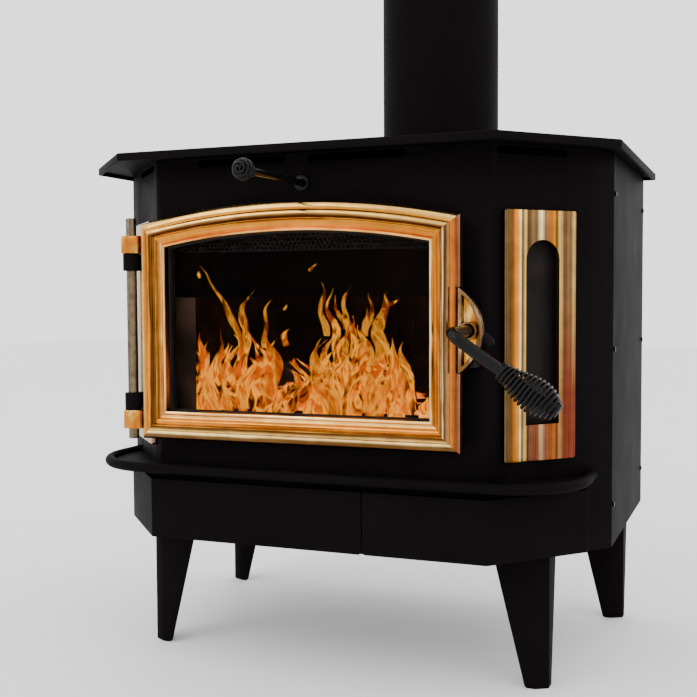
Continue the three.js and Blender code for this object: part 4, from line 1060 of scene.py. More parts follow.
class STOVE_OT_jacket(bpy.types.Operator):
    """Front panel and chamfers in one folded sheet, with its door opening, louvres and slots"""

    bl_idname = "stove.jacket"
    bl_label = "Front Jacket"

    def execute(self, context):
        sizes = context.scene.stove_sizes
        path = [(-SIDE_HALF, SHOULDER_Y), (-FRONT_HALF, FRONT_Y), (FRONT_HALF, FRONT_Y), (SIDE_HALF, SHOULDER_Y)]
        wall, bend = sizes.wall / MM, sizes.front_bend / MM
        obj = folded_sheet("front_jacket_piece", path, PANEL_BOTTOM, PANEL_TOP, wall, bend)
        before, behind = FRONT_Y - 10, FRONT_Y + 20
        cutters = [front_plate("opening", door_outline(17), before, behind)]
        for ends in FRONT_LOUVRES:
            cutters.append(front_plate("louvre", slot_points(*ends, *LOUVRE), before, behind))
        for side in (1, -1):
            cutters.append(chamfer_plate("louvre", slot_points(*CHAMFER_LOUVRE, *LOUVRE), 10, -20, side))
            cutters.append(chamfer_plate("slot", arched_points(SLOT_CENTRE, 64, 394, 663), 10, -20, side))
        for x, z, radius, sides in ((DAMPER_X, DAMPER_Z, 7.1, 32), (*PILOT_HOLE, 2.5, 16)):
            cutters.append(rod("hole", at(x, before, z), at(x, behind, z), radius, sides))
        cut(obj, *cutters)
        soften(obj, SHEET_ROUND, 2, SHEET_ANGLE)
        finish_piece(obj, "stove", "black_paint", "front_jacket", angle=25)
        return {"FINISHED"}


class STOVE_OT_side_panels(bpy.types.Operator):
    """Side panels, lapped behind the chamfers and flanged at the back"""

    bl_idname = "stove.side_panels"
    bl_label = "Side Panels"

    def execute(self, context):
        lap = on_chamfer(CHAMFER_LENGTH - 24, -2.8, 0)
        lap_end = on_chamfer(CHAMFER_LENGTH - 1, -2.8, 0)
        path = [drawn(lap), drawn(lap_end), (SIDE_HALF, SHOULDER_Y + 5), (SIDE_HALF, REAR_Y), (SIDE_HALF - 20, REAR_Y)]
        for name, mirrored in (("side_panel_right", False), ("side_panel_left", True)):
            obj = folded_sheet(name + "_piece", path, PANEL_BOTTOM, PANEL_TOP, 2.5, 1.6)
            soften(obj, SHEET_ROUND, 2, SHEET_ANGLE)
            if mirrored:
                obj.scale = (-1, 1, 1)
                settle(obj)
            finish_piece(obj, "stove", "black_paint", name)
        return {"FINISHED"}


class STOVE_OT_back_panel(bpy.types.Operator):
    """Back panel with its air intake, and the bottom plate"""

    bl_idname = "stove.back_panel"
    bl_label = "Back Panel"

    def execute(self, context):
        for name in ("back_panel", "bottom_plate"):
            refine_node(name, "stove", "black_paint", 0.6)
        return {"FINISHED"}


class STOVE_OT_grilles(bpy.types.Operator):
    """Brass side grilles with an arched slot"""

    bl_idname = "stove.grilles"
    bl_label = "Side Grilles"

    def execute(self, context):
        for name, side in (("side_grille_right", 1), ("side_grille_left", -1)):
            outline_points = slot_points(*GRILLE_ENDS, *GRILLE_HEIGHTS, 3.5)
            obj = chamfer_plate(name + "_piece", outline_points, SEAT_GAP, GRILLE_FACE, side)
            cut(obj, chamfer_plate("slot", arched_points(SLOT_CENTRE, 58, 397, 660), 20, -10, side))
            soften(obj, 1.3, 3, 50)
            finish_piece(obj, "stove", "grille_brass", name, angle=50)
            front, far = (on_chamfer(end, GRILLE_FACE, 0, side) for end in GRILLE_ENDS)
            across = far - front
            map_surface(obj, lambda point, polygon: (
                (point.xy - front.xy).dot(across.xy) / across.xy.length_squared, point.z,
            ))
        return {"FINISHED"}


class STOVE_OT_skirt(bpy.types.Operator):
    """Skirt under the shelf, in two lengths that meet at a seam"""

    bl_idname = "stove.skirt"
    bl_label = "Skirt"

    def execute(self, context):
        low, high = (value / MM for value in (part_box("base_skirt_left")[0][2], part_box("base_skirt_left")[1][2]))
        bend_x = plan(*[SKIRT_STANDOFF] * 4)[0][0]
        far = on_chamfer(SKIRT_END, SKIRT_STANDOFF, 0)
        back = on_chamfer(SKIRT_END, SEAT_GAP, 0)
        right = [(bend_x, FRONT_Y - SKIRT_STANDOFF), drawn(far), drawn(back)]
        left = [(-x, y) for x, y in reversed(right)]
        halves = (
            ("base_skirt_left", left + [(SEAM_SIDES[0], FRONT_Y - SKIRT_STANDOFF)]),
            ("base_skirt_right", [(SEAM_SIDES[1], FRONT_Y - SKIRT_STANDOFF)] + right),
        )
        for name, path in halves:
            obj = folded_sheet(name + "_piece", path, low, high, 2.5, 4)
            notch = [(78.5, low - 2), (87.5, low - 2), (84.2, low + 7), (81.8, low + 7)]
            cut(obj, front_plate("notch", notch, FRONT_Y - 30, FRONT_Y))
            soften(obj, SHEET_ROUND, 2, SHEET_ANGLE)
            finish_piece(obj, "stove", "black_paint", name)
        return {"FINISHED"}


def rim_path(half, front, corner, end, steps=14):
    """The shelf's line in plan, from its left end round the front to its right end."""
    points = [(-half, end)]
    for i in range(steps + 1):
        angle = math.pi + math.pi / 2 * i / steps
        points.append((-half + corner + corner * math.cos(angle), front + corner + corner * math.sin(angle)))
    for i in range(steps + 1):
        angle = 1.5 * math.pi + math.pi / 2 * i / steps
        points.append((half - corner + corner * math.cos(angle), front + corner + corner * math.sin(angle)))
    points.append((half, end))
    return points


class STOVE_OT_shelf(bpy.types.Operator):
    """Ash shelf with its tube rim"""

    bl_idname = "stove.shelf"
    bl_label = "Ash Shelf"

    def execute(self, context):
        sizes = context.scene.stove_sizes
        line = rim_path(SHELF_HALF, SHELF_FRONT, SHELF_CORNER, SHELF_END)
        rim = wire("shelf_rim_piece", [at(x, y, SHELF_Z) for x, y in line], sizes.rim_tube / MM, 6)
        finish_piece(rim, "stove", "black_paint", "shelf_rim_tube", angle=60)
        inner = rim_path(SHELF_HALF - SHELF_GAP, SHELF_FRONT + SHELF_GAP, SHELF_CORNER - SHELF_GAP, SHELF_END + 8)
        cabinet = [(SIDE_HALF - 42, SHOULDER_Y - 40), (FRONT_HALF - 2, FRONT_Y + 3)]
        outline_points = inner + cabinet + [(-x, y) for x, y in reversed(cabinet)]
        shelf = plan_plate("ash_shelf_piece", outline_points, SHELF_Z - SHELF_PLATE, SHELF_Z)
        soften(shelf, SHEET_ROUND, 2, SHEET_ANGLE)
        finish_piece(shelf, "stove", "black_paint", "ash_shelf")
        return {"FINISHED"}


class STOVE_OT_legs(bpy.types.Operator):
    """Tapered legs bent from plate"""

    bl_idname = "stove.legs"
    bl_label = "Legs"

    def execute(self, context):
        for name in ("leg_front_left", "leg_front_right", "leg_rear_left", "leg_rear_right"):
            refine_node(name, "stove", "black_paint", 1.2, 3)
        return {"FINISHED"}


def screw(name, place, outwards, radius, slotted=True):
    """A pan-head screw with its drive slot, seen from outside."""
    clear_selection()
    thickness = radius * 0.7
    bpy.ops.mesh.primitive_cylinder_add(
        vertices=16, radius=radius, depth=thickness, location=(0, 0, thickness / 2),
    )
    obj = take(name)
    settle(obj)
    soften(obj, radius * 0.28 / MM, 3, 50)
    if slotted:
        for turn in (0, math.pi / 2):
            low, high = Vector((-0.62, -0.1, 0.4)) * radius, Vector((0.62, 0.1, 1.0)) * radius
            slot = block("drive", low, high)
            slot.rotation_euler = (0, 0, turn)
            settle(slot)
            cut(obj, slot)
    obj.rotation_euler = Vector(outwards).to_track_quat("Z", "Y").to_euler()
    obj.location = place
    return settle(obj)


class STOVE_OT_screws(bpy.types.Operator):
    """Screws of the side and back panels, and the bolts under the shelf"""

    bl_idname = "stove.screws"
    bl_label = "Panel Screws"

    def execute(self, context):
        radius = context.scene.stove_sizes.screw_head
        back = REAR_Y + SEAT_GAP + context.scene.stove_sizes.wall / MM
        heads = []
        for side in (1, -1):
            for z in (732, 500, 265):
                for y in (SHOULDER_Y + 14, REAR_Y - 14):
                    heads.append(screw("screw", at(side * SIDE_HALF, y, z), (side, 0, 0), radius))
            for z in (760, 510, 240):
                heads.append(screw("screw", at(side * 396, back, z), (0, 1, 0), radius))
        for x in (-150, 150):
            for z in (778, 300):
                heads.append(screw("screw", at(x, back, z), (0, 1, 0), radius))
        obj = join(*heads, name="panel_screws")
        finish_piece(obj, "stove", "black_rod")
        under = SHELF_Z - SHELF_PLATE
        bolts = [screw("bolt", at(x, 150, under), (0, 0, -1), radius * 1.1, False) for x in (-362, 362)]
        obj = join(*bolts, name="shelf_bolts")
        finish_piece(obj, "stove", "black_rod")
        return {"FINISHED"}


# ---- Flue ----
def flue_tube(name, low, high, outer, inner, sides=128):
    """An upright tube on the flue's axis."""
    return cut(flue_rod(name, low, high, outer, sides), flue_rod("bore", low - 10, high + 10, inner, sides))


class STOVE_OT_flue(bpy.types.Operator):
    """Flue collar and pipe, with the pipe's lock seam and crimped end"""

    bl_idname = "stove.flue"
    bl_label = "Flue"

    def execute(self, context):
        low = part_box("flue_collar")[0][2] / MM
        collar_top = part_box("flue_collar")[1][2] / MM
        pipe_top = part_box("stove_pipe")[1][2] / MM
        collar = flue_tube("flue_collar_piece", low, collar_top, 103.5, 98.5)
        soften(collar, 1.4, 3, 50)
        finish_piece(collar, "stove", "black_paint", "flue_collar")
        pipe = flue_tube("stove_pipe_piece", collar_top + 0.4, pipe_top, 101.5, 100.1)
        crimp = flue_tube("crimp", collar_top - 35, collar_top + 1.5, 97.3, 95.9, 96)
        flare = flue_tube("flare", collar_top + 0.4, collar_top + 1.8, 100.6, 96.6, 96)
        seam = block("seam", at(FLUE_X - 5, FLUE_Y + 98.8, collar_top + 2), at(FLUE_X + 5, FLUE_Y + 101.5, pipe_top))
        obj = join(pipe, crimp, flare, seam)
        finish_piece(obj, "stove", "black_paint", "stove_pipe")
        return {"FINISHED"}


# ---- Firebox ----
class STOVE_OT_firebox(bpy.types.Operator):
    """Firebox walls, face, floor, top and pedestal, with the baffle and air tubes"""

    bl_idname = "stove.firebox"
    bl_label = "Firebox"

    def execute(self, context):
        for name in (
            "firebox_face", "firebox_wall_right", "firebox_wall_left", "firebox_back", "firebox_floor",
            "firebox_top", "firebox_pedestal", "air_tube_1", "air_tube_2",
        ):
            refine_node(name, "stove", "plate_steel", 0.8)
        refine_node("baffle_board", "stove", "baffle_board", 1.5)
        refine_node("log_bar", "stove", "cast_iron", 2.0, 3)
        return {"FINISHED"}


class STOVE_OT_bricks(bpy.types.Operator):
    """Firebricks, split into single bricks with worn edges"""

    bl_idname = "stove.bricks"
    bl_label = "Firebricks"

    def execute(self, context):
        width = BRICK_LENGTH * MM
        for name in sorted(n for n in frame["nodes"] if n.startswith("brick_")):
            obj = refined(name, 0.1, 1)
            low, high = (Vector(corner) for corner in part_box(name))
            joints = []
            for axis, kinds in ((0, ("hearth", "back")), (1, ("hearth", "side"))):
                normal = Vector((1 - axis, axis, 0))
                place = low[axis] + width
                while place < high[axis] - 0.02 and any(kind in name for kind in kinds):
                    joints.append((normal * place, normal))
                    place += width
            for place, normal in joints:
                span = (Vector((1, 1, 1)) - normal) * 0.6 + normal * 0.0006
                middle = Vector((normal.x * place.x, normal.y * place.y, 0.45))
                cut(obj, block("joint", middle - span, middle + span))
            soften(obj, 1.6, 2, 40)
            finish_piece(obj, "stove", "firebrick", name)
        return {"FINISHED"}


class STOVE_OT_screen(bpy.types.Operator):
    """Air-wash screen: a plate with a strip of hexagonal mesh along its lower edge"""

    bl_idname = "stove.screen"
    bl_label = "Air-Wash Screen"

    def execute(self, context):
        sizes = context.scene.stove_sizes
        low, high = (Vector(corner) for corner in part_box("airwash_screen"))
        cell = sizes.mesh_cell
        radius = cell / math.sqrt(3)
        rows, columns = 4, int((high.x - low.x) / cell) - 1
        clear_selection()
        bpy.ops.mesh.primitive_circle_add(vertices=6, radius=radius, fill_type="NGON")
        cells = take("airwash_screen_piece")
        pick_faces(cells, lambda middle, normal: True)
        bpy.ops.mesh.inset(thickness=cell * 0.13)
        bpy.ops.mesh.delete(type="FACE")
        done()
        apply_modifier(
            cells, "ARRAY", count=columns, use_relative_offset=False, use_constant_offset=True,
            constant_offset_displace=(cell, 0, 0),
        )
        shifted = []
        for row in range(1, rows):
            shifted.append(copied(cells, "row", Vector((cell / 2 * (row % 2), radius * 1.5 * row, 0))))
        join(cells, *shifted)
        cells.rotation_euler = (math.pi / 2, 0, 0)
        cells.location = (low.x + cell, low.y + 0.0002, low.z + radius)
        settle(cells)
        recalculated(cells)
        apply_modifier(cells, "SOLIDIFY", thickness=0.0012, offset=0)
        edge = low.z + radius * 1.5 * rows
        top = block("plate", Vector((low.x, low.y, edge)), high)
        foot = block("foot", low, Vector((high.x, high.y, low.z + 0.0018)))
        ends = [
            block("end", low, Vector((low.x + cell * 0.7, high.y, edge + 0.001))),
            block("end", Vector((high.x - cell * 0.7, low.y, low.z)), Vector((high.x, high.y, edge + 0.001))),
        ]
        join(cells, top, foot, *ends)
        finish_piece(cells, "stove", "plate_steel", "airwash_screen")
        return {"FINISHED"}


class STOVE_OT_logs(bpy.types.Operator):
    """Split logs and the bed of coals that they lie on"""

    bl_idname = "stove.logs"
    bl_label = "Logs and Coals"

    def execute(self, context):
        rough = random.Random(11)
        bpy.ops.object.select_all(action="DESELECT")
        bpy.ops.mesh.primitive_grid_add(x_subdivisions=70, y_subdivisions=36, size=1)
        bed = take("coal_bed")
        bed.scale = (0.40, 0.21, 1)
        bed.location = at(-50, 235, 384.5)
        settle(bed)
        for vertex in bed.data.vertices:
            x, y = (vertex.co.x - at(-50, 0, 0).x) / 0.20, (vertex.co.y - at(0, 235, 0).y) / 0.105
            swell = max(0.0, 1 - x * x) * max(0.0, 1 - y * y)
            vertex.co.z += 0.020 * swell**0.5 + rough.uniform(0, 0.006) * swell
        finish_piece(bed, "stove", "ember", angle=60)
        logs = (
            ((-210, 190, 410), (110, 215, 405), 30), ((-190, 285, 412), (125, 255, 410), 34),
            ((-150, 200, 452), (80, 300, 446), 27),
        )
        pieces = []
        for start, end, radius in logs:
            obj = rod("log", at(*start), at(*end), radius, 14)
            along = (at(*end) - at(*start)).normalized()
            pick_faces(obj, lambda middle, normal: abs(normal.dot(along)) < 0.5)
            bpy.ops.mesh.subdivide(number_cuts=5)
            done()
            centre = (at(*start) + at(*end)) / 2
            for vertex in obj.data.vertices:
                offset = vertex.co - centre
                radial = offset - along * offset.dot(along)
                if radial.length > 1e-4:
                    split = max(0.0, radial.normalized().dot(Vector((0, -0.5, 0.86))))
                    vertex.co -= radial * (0.34 * split + rough.uniform(-0.05, 0.05))
            soften(obj, 1.5, 2, 50)
            pieces.append(obj)
        obj = join(*pieces, name="split_logs")
        finish_piece(obj, "stove", "charred_wood", angle=40)
        return {"FINISHED"}


def tongue(name, rough, x, y, z, height, width, lean):
    """One flame tongue: a flattened wisp that swells, sways and tapers to a point."""
    steps = 18
    phase = rough.uniform(0, 6.28)
    sway = rough.uniform(0.08, 0.2) * height
    waves = rough.uniform(0.9, 1.7)
    places, radii = [], []
    for i in range(steps + 1):
        t = i / steps
        level = z + height * t
        swirl = 9 * t * math.sin(0.052 * level + 0.031 * x) + 5 * t * math.sin(0.11 * level - 0.05 * x)
        side = sway * math.sin(phase + waves * math.pi * t) * t + lean * t * t + swirl
        depth = 0.4 * sway * math.sin(phase * 1.7 + waves * math.pi * t) * t
        places.append(at(x + side, y + depth, level))
        swell = math.sin(math.pi * min(1.0, (t + 0.18) / 1.18)) ** 0.8
        flick = 1 + 0.25 * math.sin(phase * 2 + 9 * t)
        radii.append(max(0.02, swell * (1 - t) ** 0.45 * flick))
    obj = wire(name, places, width, 3, radii)
    centre_y = at(0, y, 0).y
    for vertex in obj.data.vertices:
        vertex.co.y = centre_y + (vertex.co.y - centre_y) * 0.5
    return obj


class STOVE_OT_flames(bpy.types.Operator):
    """Flame tongues and sparks over the logs"""

    bl_idname = "stove.flames"
    bl_label = "Flames"

    def execute(self, context):
        rough = random.Random(5)
        count = context.scene.stove_sizes.tongues
        peaks = [
            (-262, 25), (-248, 80), (-225, 150), (-195, 130), (-165, 145), (-135, 185), (-110, 135), (-88, 60),
            (-62, 45), (-42, 115), (-10, 190), (30, 200), (75, 190), (102, 140), (124, 70), (138, 25),
        ]
        cores, veils = [], []

        def height_at(x):
            for (x0, h0), (x1, h1) in zip(peaks, peaks[1:]):
                if x0 <= x <= x1:
                    return h0 + (h1 - h0) * (x - x0) / (x1 - x0)
            return 20

        for layer, (share, fullness, y0, y1, size) in enumerate((
            (0.5, 0.42, 84, 97, 13), (0.85, 0.72, 116, 150, 13), (0.7, 0.95, 140, 190, 11),
        )):
            number = round(count * share)
            for i in range(number):
                x = -256 + 388 * (i + rough.uniform(-0.5, 0.5)) / max(1, number - 1)
                height = height_at(x) * fullness * rough.uniform(0.4, 1.0) + 16
                kind = cores if rough.random() < 0.5 else veils
                width = size * rough.uniform(0.7, 1.5) * (0.6 + height / 260)
                lean = rough.uniform(-0.22, 0.22) * height
                root = 391 + 7 * (layer > 0)
                kind.append(tongue("flame", rough, x, rough.uniform(y0, y1), root, height, width, lean))
        for x, z, height, width, lean in (
            (-160, 500, 132, 6, -66), (-150, 500, 60, 7, 12), (-140, 520, 74, 6, 6), (-118, 500, 80, 5, 18),
            (-8, 520, 84, 7, -16), (20, 530, 70, 6, 10), (58, 520, 66, 7, 12), (84, 530, 56, 6, 6),
            (104, 440, 40, 15, 4),
        ):
            veils.append(tongue("lick", rough, x, rough.uniform(120, 160), z, height, width, lean))
        cores.append(tongue("curl", rough, 96, 130, 440, 66, 17, 14))
        for x, z, size in ((-232, 612, 4), (-78, 504, 9), (-37, 620, 4), (93, 566, 4), (-84, 560, 3), (-60, 470, 5)):
            cores.append(tongue("spark", rough, x, 140, z, size * 3.0, size * 0.8, 5))
        obj = join(*cores, name="flame_cores")
        finish_piece(obj, "stove", "flame_core", angle=80)
        obj = join(*veils, name="flame_veils")
        finish_piece(obj, "stove", "flame_veil", angle=80)
        return {"FINISHED"}


# ---- Door ----
class STOVE_OT_door_frame(bpy.types.Operator):
    """The door's brass moulding, swept round an arched outline with mitred corners"""

    bl_idname = "stove.door_frame"
    bl_label = "Door Moulding"

    def execute(self, context):
        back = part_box("door_frame")[1][1] / MM - DRAWING_Y / MM
        profile = [
            (0.0, 6.0), (0.6, 8.6), (1.8, 10.9), (3.6, 12.9), (6.0, 14.4), (9.0, 15.4), (11.6, 15.7), (12.8, 15.3),
            (13.6, 16.4), (14.8, 17.8), (16.6, 19.2), (19.0, 19.9), (21.2, 19.6), (23.0, 18.4), (24.2, 16.6),
            (24.9, 14.6), (25.8, 13.7), (27.0, 13.9), (28.0, 14.6), (29.2, 14.2), (31.0, 12.5), (33.2, 10.6),
            (35.6, 9.4), (37.6, 9.2), (38.8, 10.0), (40.2, 11.0), (41.8, 11.2), (43.2, 10.4),
            (MOULDING_WIDTH, 8.8), (MOULDING_WIDTH, 0.0), (0.0, 0.0),
        ]
        rings = [[at(x, back - height, z) for x, z in door_outline(inset)] for inset, height in profile]
        obj = swept("door_frame_piece", rings)
        # Each side takes its own finish of painted reflection bands.
        sides = ("left", "right", "top", "bottom")
        finish_piece(obj, "door", ["trim_" + side for side in sides], "door_frame", angle=28)

        def insets(point):
            x, z = point.x / MM, point.z / MM
            arch = ARCH_RADIUS - math.hypot(x - DOOR_X, z - ARCH_Z)
            return (x - DOOR_X + DOOR_HALF, DOOR_X + DOOR_HALF - x, arch, z - DOOR_BOTTOM)

        for polygon in obj.data.polygons:
            distances = insets(polygon.center)
            polygon.material_index = distances.index(min(distances))
        map_surface(obj, lambda point, polygon: (
            point.z if polygon.material_index < 2 else point.x, insets(point)[polygon.material_index] / MOULDING_WIDTH,
        ))
        return {"FINISHED"}


class STOVE_OT_door_inside(bpy.types.Operator):
    """Iron casting, glass, retainer, seal and braided rope of the door"""

    bl_idname = "stove.door_inside"
    bl_label = "Door Casting and Glass"

    def execute(self, context):
        refine_node("door_casting", "door", "cast_iron", 1.2)
        refine_node("glass_retainer", "door", "plate_steel", 0.6)
        refine_node("glass_seal", "door", "rope", 0.4)
        dress("door_glass", finish_of("ceramic_glass"))
        low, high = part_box("door_rope")
        middle = (low[1] + high[1]) / 2 / MM - DRAWING_Y / MM
        places = [at(x, middle, z) for x, z in door_outline(24, 60)]
        rope = wire("door_rope_piece", places, 5, 4, closed=True)
        finish_piece(rope, "door", "rope", "door_rope", angle=80)
        sill = DOOR_BOTTOM + 38.2
        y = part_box("glass_retainer")[1][1] / MM - DRAWING_Y / MM
        spots = [
            (-200, sill), (-18, sill), (165, sill), (-233.8, 530), (197.8, 470), (197.8, 600), (-110, 679), (75, 679),
        ]
        heads = [screw("screw", at(x, y, z), (0, 1, 0), 3.4 * MM) for x, z in spots]
        obj = join(*heads, name="retainer_screws")
        finish_piece(obj, "door", "black_rod")
        return {"FINISHED"}


class STOVE_OT_hinge(bpy.types.Operator):
    """Hinge rod, brass knuckles and brackets"""

    bl_idname = "stove.hinge"
    bl_label = "Hinge"

    def execute(self, context):
        low, high = (Vector(corner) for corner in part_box("hinge_rod"))
        centre = (low + high) / 2

        def hinge_rod(name, start, end, radius):
            """A round bar on the hinge's axis."""
            return rod(name, Vector((*centre.xy, start)), Vector((*centre.xy, end)), radius, 48)

        bar = hinge_rod("hinge_rod_piece", low.z, high.z, 8)
        soften(bar, 1.4, 3, 50)
        finish_piece(bar, "stove", "nickel", "hinge_rod")
        for name in ("hinge_knuckle_upper", "hinge_knuckle_lower"):
            low, high = (Vector(corner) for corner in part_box(name))
            body = block(name + "_piece", low, Vector((high.x, centre.y + 0.0112, high.z)))
            cut(body, hinge_rod("bore", low.z - 0.01, high.z + 0.01, 8.3))
            soften(body, 1.5, 3, 50)
            finish_piece(body, "door", "brass_plain", name)
        for name in ("hinge_bracket_upper", "hinge_bracket_lower"):
            refine_node(name, "stove", "black_paint", 1.0)
        return {"FINISHED"}


def boss_points(inset, left, steps=36):
    """The latch boss's half-round outline, its arc moved inwards by an inset."""
    radius = (BOSS_HALF_HEIGHT**2 + BOSS_REACH**2) / (2 * BOSS_REACH)
    centre_x = DOOR_X + DOOR_HALF + BOSS_REACH - radius
    angle = math.acos((left - centre_x) / (radius - inset))
    points = []
    for i in range(steps + 1):
        turn = -angle + 2 * angle * i / steps
        points.append((centre_x + (radius - inset) * math.cos(turn), LATCH_Z + (radius - inset) * math.sin(turn)))
    return points


def latch_rod(name, front, back, radius):
    """A round bar on the latch shaft's axis."""
    return rod(name, at(LATCH_X, front, LATCH_Z), at(LATCH_X, back, LATCH_Z), radius, 48)


class STOVE_OT_latch(bpy.types.Operator):
    """Half-round brass boss with a raised rim, its bushing, and the keeper behind"""

    bl_idname = "stove.latch"
    bl_label = "Latch Boss"

    def execute(self, context):
        left = DOOR_X + DOOR_HALF + SEAT_GAP
        steps = (
            (0, 34), (0, 15.6), (0.5, 14.5), (1.6, 14), (4.0, 14), (5.0, 14.6), (5.6, 16), (5.8, 25), (6.2, 26),
            (7.2, 26.4),
        )
        rings = [[at(x, y, z) for x, z in boss_points(inset, left + inset)] for inset, y in steps]
        boss = swept("latch_boss_piece", rings, closed=False)
        cut(boss, latch_rod("bore", 0, 60, BORE_RADIUS))
        finish_piece(boss, "door", ["brass_plain", "brass_rim"], "latch_boss", angle=40)
        # Every face but the forward recess floor takes the olive and pewter painted reflection.
        for polygon in boss.data.polygons:
            polygon.material_index = 0 if polygon.normal.y < -0.9 and polygon.center.y > at(0, 25.5, 0).y else 1
        ring = cut(latch_rod("latch_bushing_piece", 10, 25.6, 12.4), latch_rod("bore", 0, 60, BORE_RADIUS))
        soften(ring, 1.6, 4, 40)
        # The bushing takes the olive and pewter painted reflection too.
        finish_piece(ring, "door", "brass_rim", "latch_bushing")
        refine_node("latch_keeper", "stove", "plate_steel", 1.0)
        return {"FINISHED"}


def on_arm(out, y, around=0.0, turn=0.0):
    """A point at a distance out along the handle's arm, and round it at a radius and a turn."""
    reach = Vector((math.cos(ARM_ANGLE), 0, math.sin(ARM_ANGLE)))
    square = Vector((-math.sin(ARM_ANGLE), 0, math.cos(ARM_ANGLE)))
    offset = square * math.cos(turn) + Vector((0, 1, 0)) * math.sin(turn)
    return at(LATCH_X, y, LATCH_Z) + (reach * out + offset * around) * MM


class STOVE_OT_handle(bpy.types.Operator):
    """Bent handle bar with its coiled wire grip, cam and nut"""

    bl_idname = "stove.handle"
    bl_label = "Handle"

    def execute(self, context):
        sizes = context.scene.stove_sizes
        bend_y = ARM_Y + ARM_BEND
        places = [at(LATCH_X, y, LATCH_Z) for y in (55.5, 30, 0, -30, bend_y)]
        for i in range(1, 13):
            angle = math.pi / 2 * i / 12
            places.append(on_arm(ARM_BEND * (1 - math.cos(angle)), bend_y - ARM_BEND * math.sin(angle)))
        places += [on_arm(out, ARM_Y) for out in (40, 70, 100, 140, 170)]
        bar = wire("handle_rod_piece", places, BAR_RADIUS, 6)
        soften(bar, 0.8, 2, 60)
        finish_piece(bar, "handle", "black_rod", "handle_rod", angle=50)
        turns, wire_radius = sizes.grip_turns, sizes.grip_wire / MM
        start, span = GRIP_START + wire_radius, GRIP_LENGTH - 2 * wire_radius
        coil = []
        steps = turns * 26
        for i in range(steps + 1):
            t = i / steps
            swell = math.sin(math.pi * t**1.6) ** 0.9 if 0 < t < 1 else 0.0
            radius = BAR_RADIUS + SEAT_GAP + wire_radius + (GRIP_RADIUS - wire_radius * 2 - BORE_RADIUS) * swell
            coil.append(on_arm(start + span * t, ARM_Y, radius, 2 * math.pi * turns * t))
        grip = wire("coil_grip_piece", coil, wire_radius, 3)
        finish_piece(grip, "handle", "black_rod", "coil_grip", angle=60)
        refine_node("latch_cam", "handle", "cast_iron", 1.0)
        refine_node("cam_nut", "handle", "plate_steel", 0.7)
        return {"FINISHED"}


class STOVE_OT_damper(bpy.types.Operator):
    """Damper rod with its ball of coiled wire, bushing and slide plate"""

    bl_idname = "stove.damper"
    bl_label = "Damper"

    def execute(self, context):
        sizes = context.scene.stove_sizes
        low, high = (Vector(corner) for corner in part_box("damper_rod"))
        x, z = (low.x + high.x) / 2, (low.z + high.z) / 2
        bar = rod("damper_rod_piece", Vector((x, low.y + 0.012, z)), Vector((x, high.y, z)), 5, 24)
        finish_piece(bar, "damper", "black_rod", "damper_rod")
        wire_radius = sizes.knob_wire / MM
        reach = KNOB_RADIUS - wire_radius
        ball = []
        turns, steps = 6, 6 * 26
        for i in range(steps + 1):
            t = i / steps
            angle = math.pi * (0.04 + 0.80 * t)
            radius = reach * math.sin(angle)
            y = KNOB_Y - reach * math.cos(angle)
            turn = 2 * math.pi * turns * t
            ball.append(at(DAMPER_X + radius * math.cos(turn), y, DAMPER_Z + radius * math.sin(turn)))
        y_end = KNOB_Y - reach * math.cos(math.pi * 0.84)
        neck_turns = 4
        for i in range(1, neck_turns * 22 + 1):
            t = i / (neck_turns * 22)
            turn = 2 * math.pi * (turns + neck_turns * t)
            y = y_end + (NECK_END_Y - wire_radius - y_end) * t
            ball.append(at(DAMPER_X + NECK_RADIUS * math.cos(turn), y, DAMPER_Z + NECK_RADIUS * math.sin(turn)))
        knob = wire("damper_knob_piece", ball, wire_radius, 3)
        finish_piece(knob, "damper", "black_rod", "damper_knob", angle=60)
        refine_node("damper_bushing", "stove", "black_rod", 0.5)
        refine_node("damper_plate", "damper", "plate_steel", 0.6)
        return {"FINISHED"}


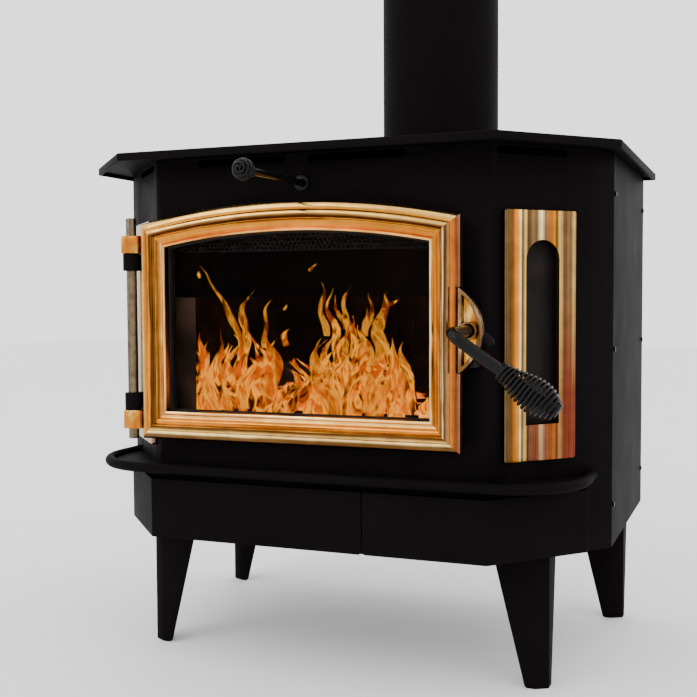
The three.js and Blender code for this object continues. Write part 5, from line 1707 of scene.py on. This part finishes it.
# ---- Stage ----
class STOVE_OT_stage(bpy.types.Operator):
    """Pale floor, even studio light, one large soft lamp and the camera"""

    bl_idname = "stove.stage"
    bl_label = "Stage"

    def execute(self, context):
        stage = context.scene.stove_stage
        clear_selection()
        bpy.ops.mesh.primitive_plane_add(size=16, location=(0, 2.5, 0))
        floor = take("studio_floor")
        settle(floor)
        finish, shader = new_finish("studio_floor", 0.0, 0.7, 0.1, stage.floor)
        cloud = clouds(finish, (2, 3), [(0.3, scaled(stage.floor, 0.985)), (0.7, stage.floor)])
        feed(shader, "Base Color", cloud)
        floor.data.materials.append(finish)
        world = bpy.data.worlds.new("studio")
        world.use_nodes = True
        background = world.node_tree.nodes["Background"]
        background.inputs["Color"].default_value = (1, 1, 1, 1)
        background.inputs["Strength"].default_value = stage.sky
        context.scene.world = world
        for name, place, power, size in (
            ("key_lamp", (-1.6, -2.4, 2.3), stage.key, 1.6), ("side_lamp", (2.6, -0.9, 1.5), stage.key * 0.12, 1.2),
        ):
            clear_selection()
            bpy.ops.object.light_add(type="AREA", location=place)
            lamp = bpy.context.object
            lamp.name = name
            lamp.data.energy = power
            lamp.data.size = size
            lamp.rotation_euler = (Vector((0, 0, 0.5)) - Vector(place)).to_track_quat("-Z", "Y").to_euler()
        clear_selection()
        bpy.ops.object.camera_add(location=stage.eye)
        camera = bpy.context.object
        camera.name = "view_camera"
        ahead = Vector((
            -math.sin(stage.yaw) * math.cos(stage.pitch), math.cos(stage.yaw) * math.cos(stage.pitch),
            -math.sin(stage.pitch),
        ))
        level = Vector((math.cos(stage.yaw), math.sin(stage.yaw), 0))
        upright = level.cross(ahead)
        right = level * math.cos(stage.roll) + upright * math.sin(stage.roll)
        up = upright * math.cos(stage.roll) - level * math.sin(stage.roll)
        turn = Matrix((right, up, -ahead)).transposed()
        camera.rotation_euler = turn.to_euler()
        camera.data.lens = stage.lens
        camera.data.sensor_width = 36
        camera.data.shift_y = 0.0033
        camera.data.clip_end = 50
        context.scene.camera = camera
        return {"FINISHED"}


STEPS = (
    STOVE_OT_top_plate, STOVE_OT_jacket, STOVE_OT_side_panels, STOVE_OT_back_panel, STOVE_OT_grilles,
    STOVE_OT_skirt, STOVE_OT_shelf, STOVE_OT_legs, STOVE_OT_screws, STOVE_OT_flue, STOVE_OT_firebox,
    STOVE_OT_bricks, STOVE_OT_screen, STOVE_OT_logs, STOVE_OT_flames, STOVE_OT_door_frame,
    STOVE_OT_door_inside, STOVE_OT_hinge, STOVE_OT_latch, STOVE_OT_handle, STOVE_OT_damper, STOVE_OT_stage,
)


class STOVE_PT_builder(bpy.types.Panel):
    """Every step of the stove, with its settings"""

    bl_idname = "STOVE_PT_builder"
    bl_label = "Stove"
    bl_space_type = "VIEW_3D"
    bl_region_type = "UI"
    bl_category = "Stove"

    def draw(self, context):
        for group in (context.scene.stove_sizes, context.scene.stove_finishes, context.scene.stove_stage):
            box = self.layout.box()
            for name in group.bl_rna.properties.keys():
                if name not in ("name", "rna_type"):
                    box.prop(group, name)
        for step in STEPS:
            self.layout.operator(step.bl_idname)


GROUPS = (("stove_sizes", StoveSizes), ("stove_finishes", StoveFinishes), ("stove_stage", StoveStage))


def register():
    """Registers the settings, the steps and the panel."""
    for name, group in GROUPS:
        bpy.utils.register_class(group)
        setattr(bpy.types.Scene, name, PointerProperty(type=group))
    for step in STEPS:
        bpy.utils.register_class(step)
    bpy.utils.register_class(STOVE_PT_builder)


def unregister():
    """Takes the panel, the steps and the settings away again."""
    bpy.utils.unregister_class(STOVE_PT_builder)
    for step in reversed(STEPS):
        bpy.utils.unregister_class(step)
    for name, group in reversed(GROUPS):
        delattr(bpy.types.Scene, name)
        bpy.utils.unregister_class(group)


def main():
    """Builds every piece in order."""
    register()
    for step in STEPS:
        group, name = step.bl_idname.split(".")
        getattr(getattr(bpy.ops, group), name)()
    clear_selection()


if __name__ == "__main__":
    main()
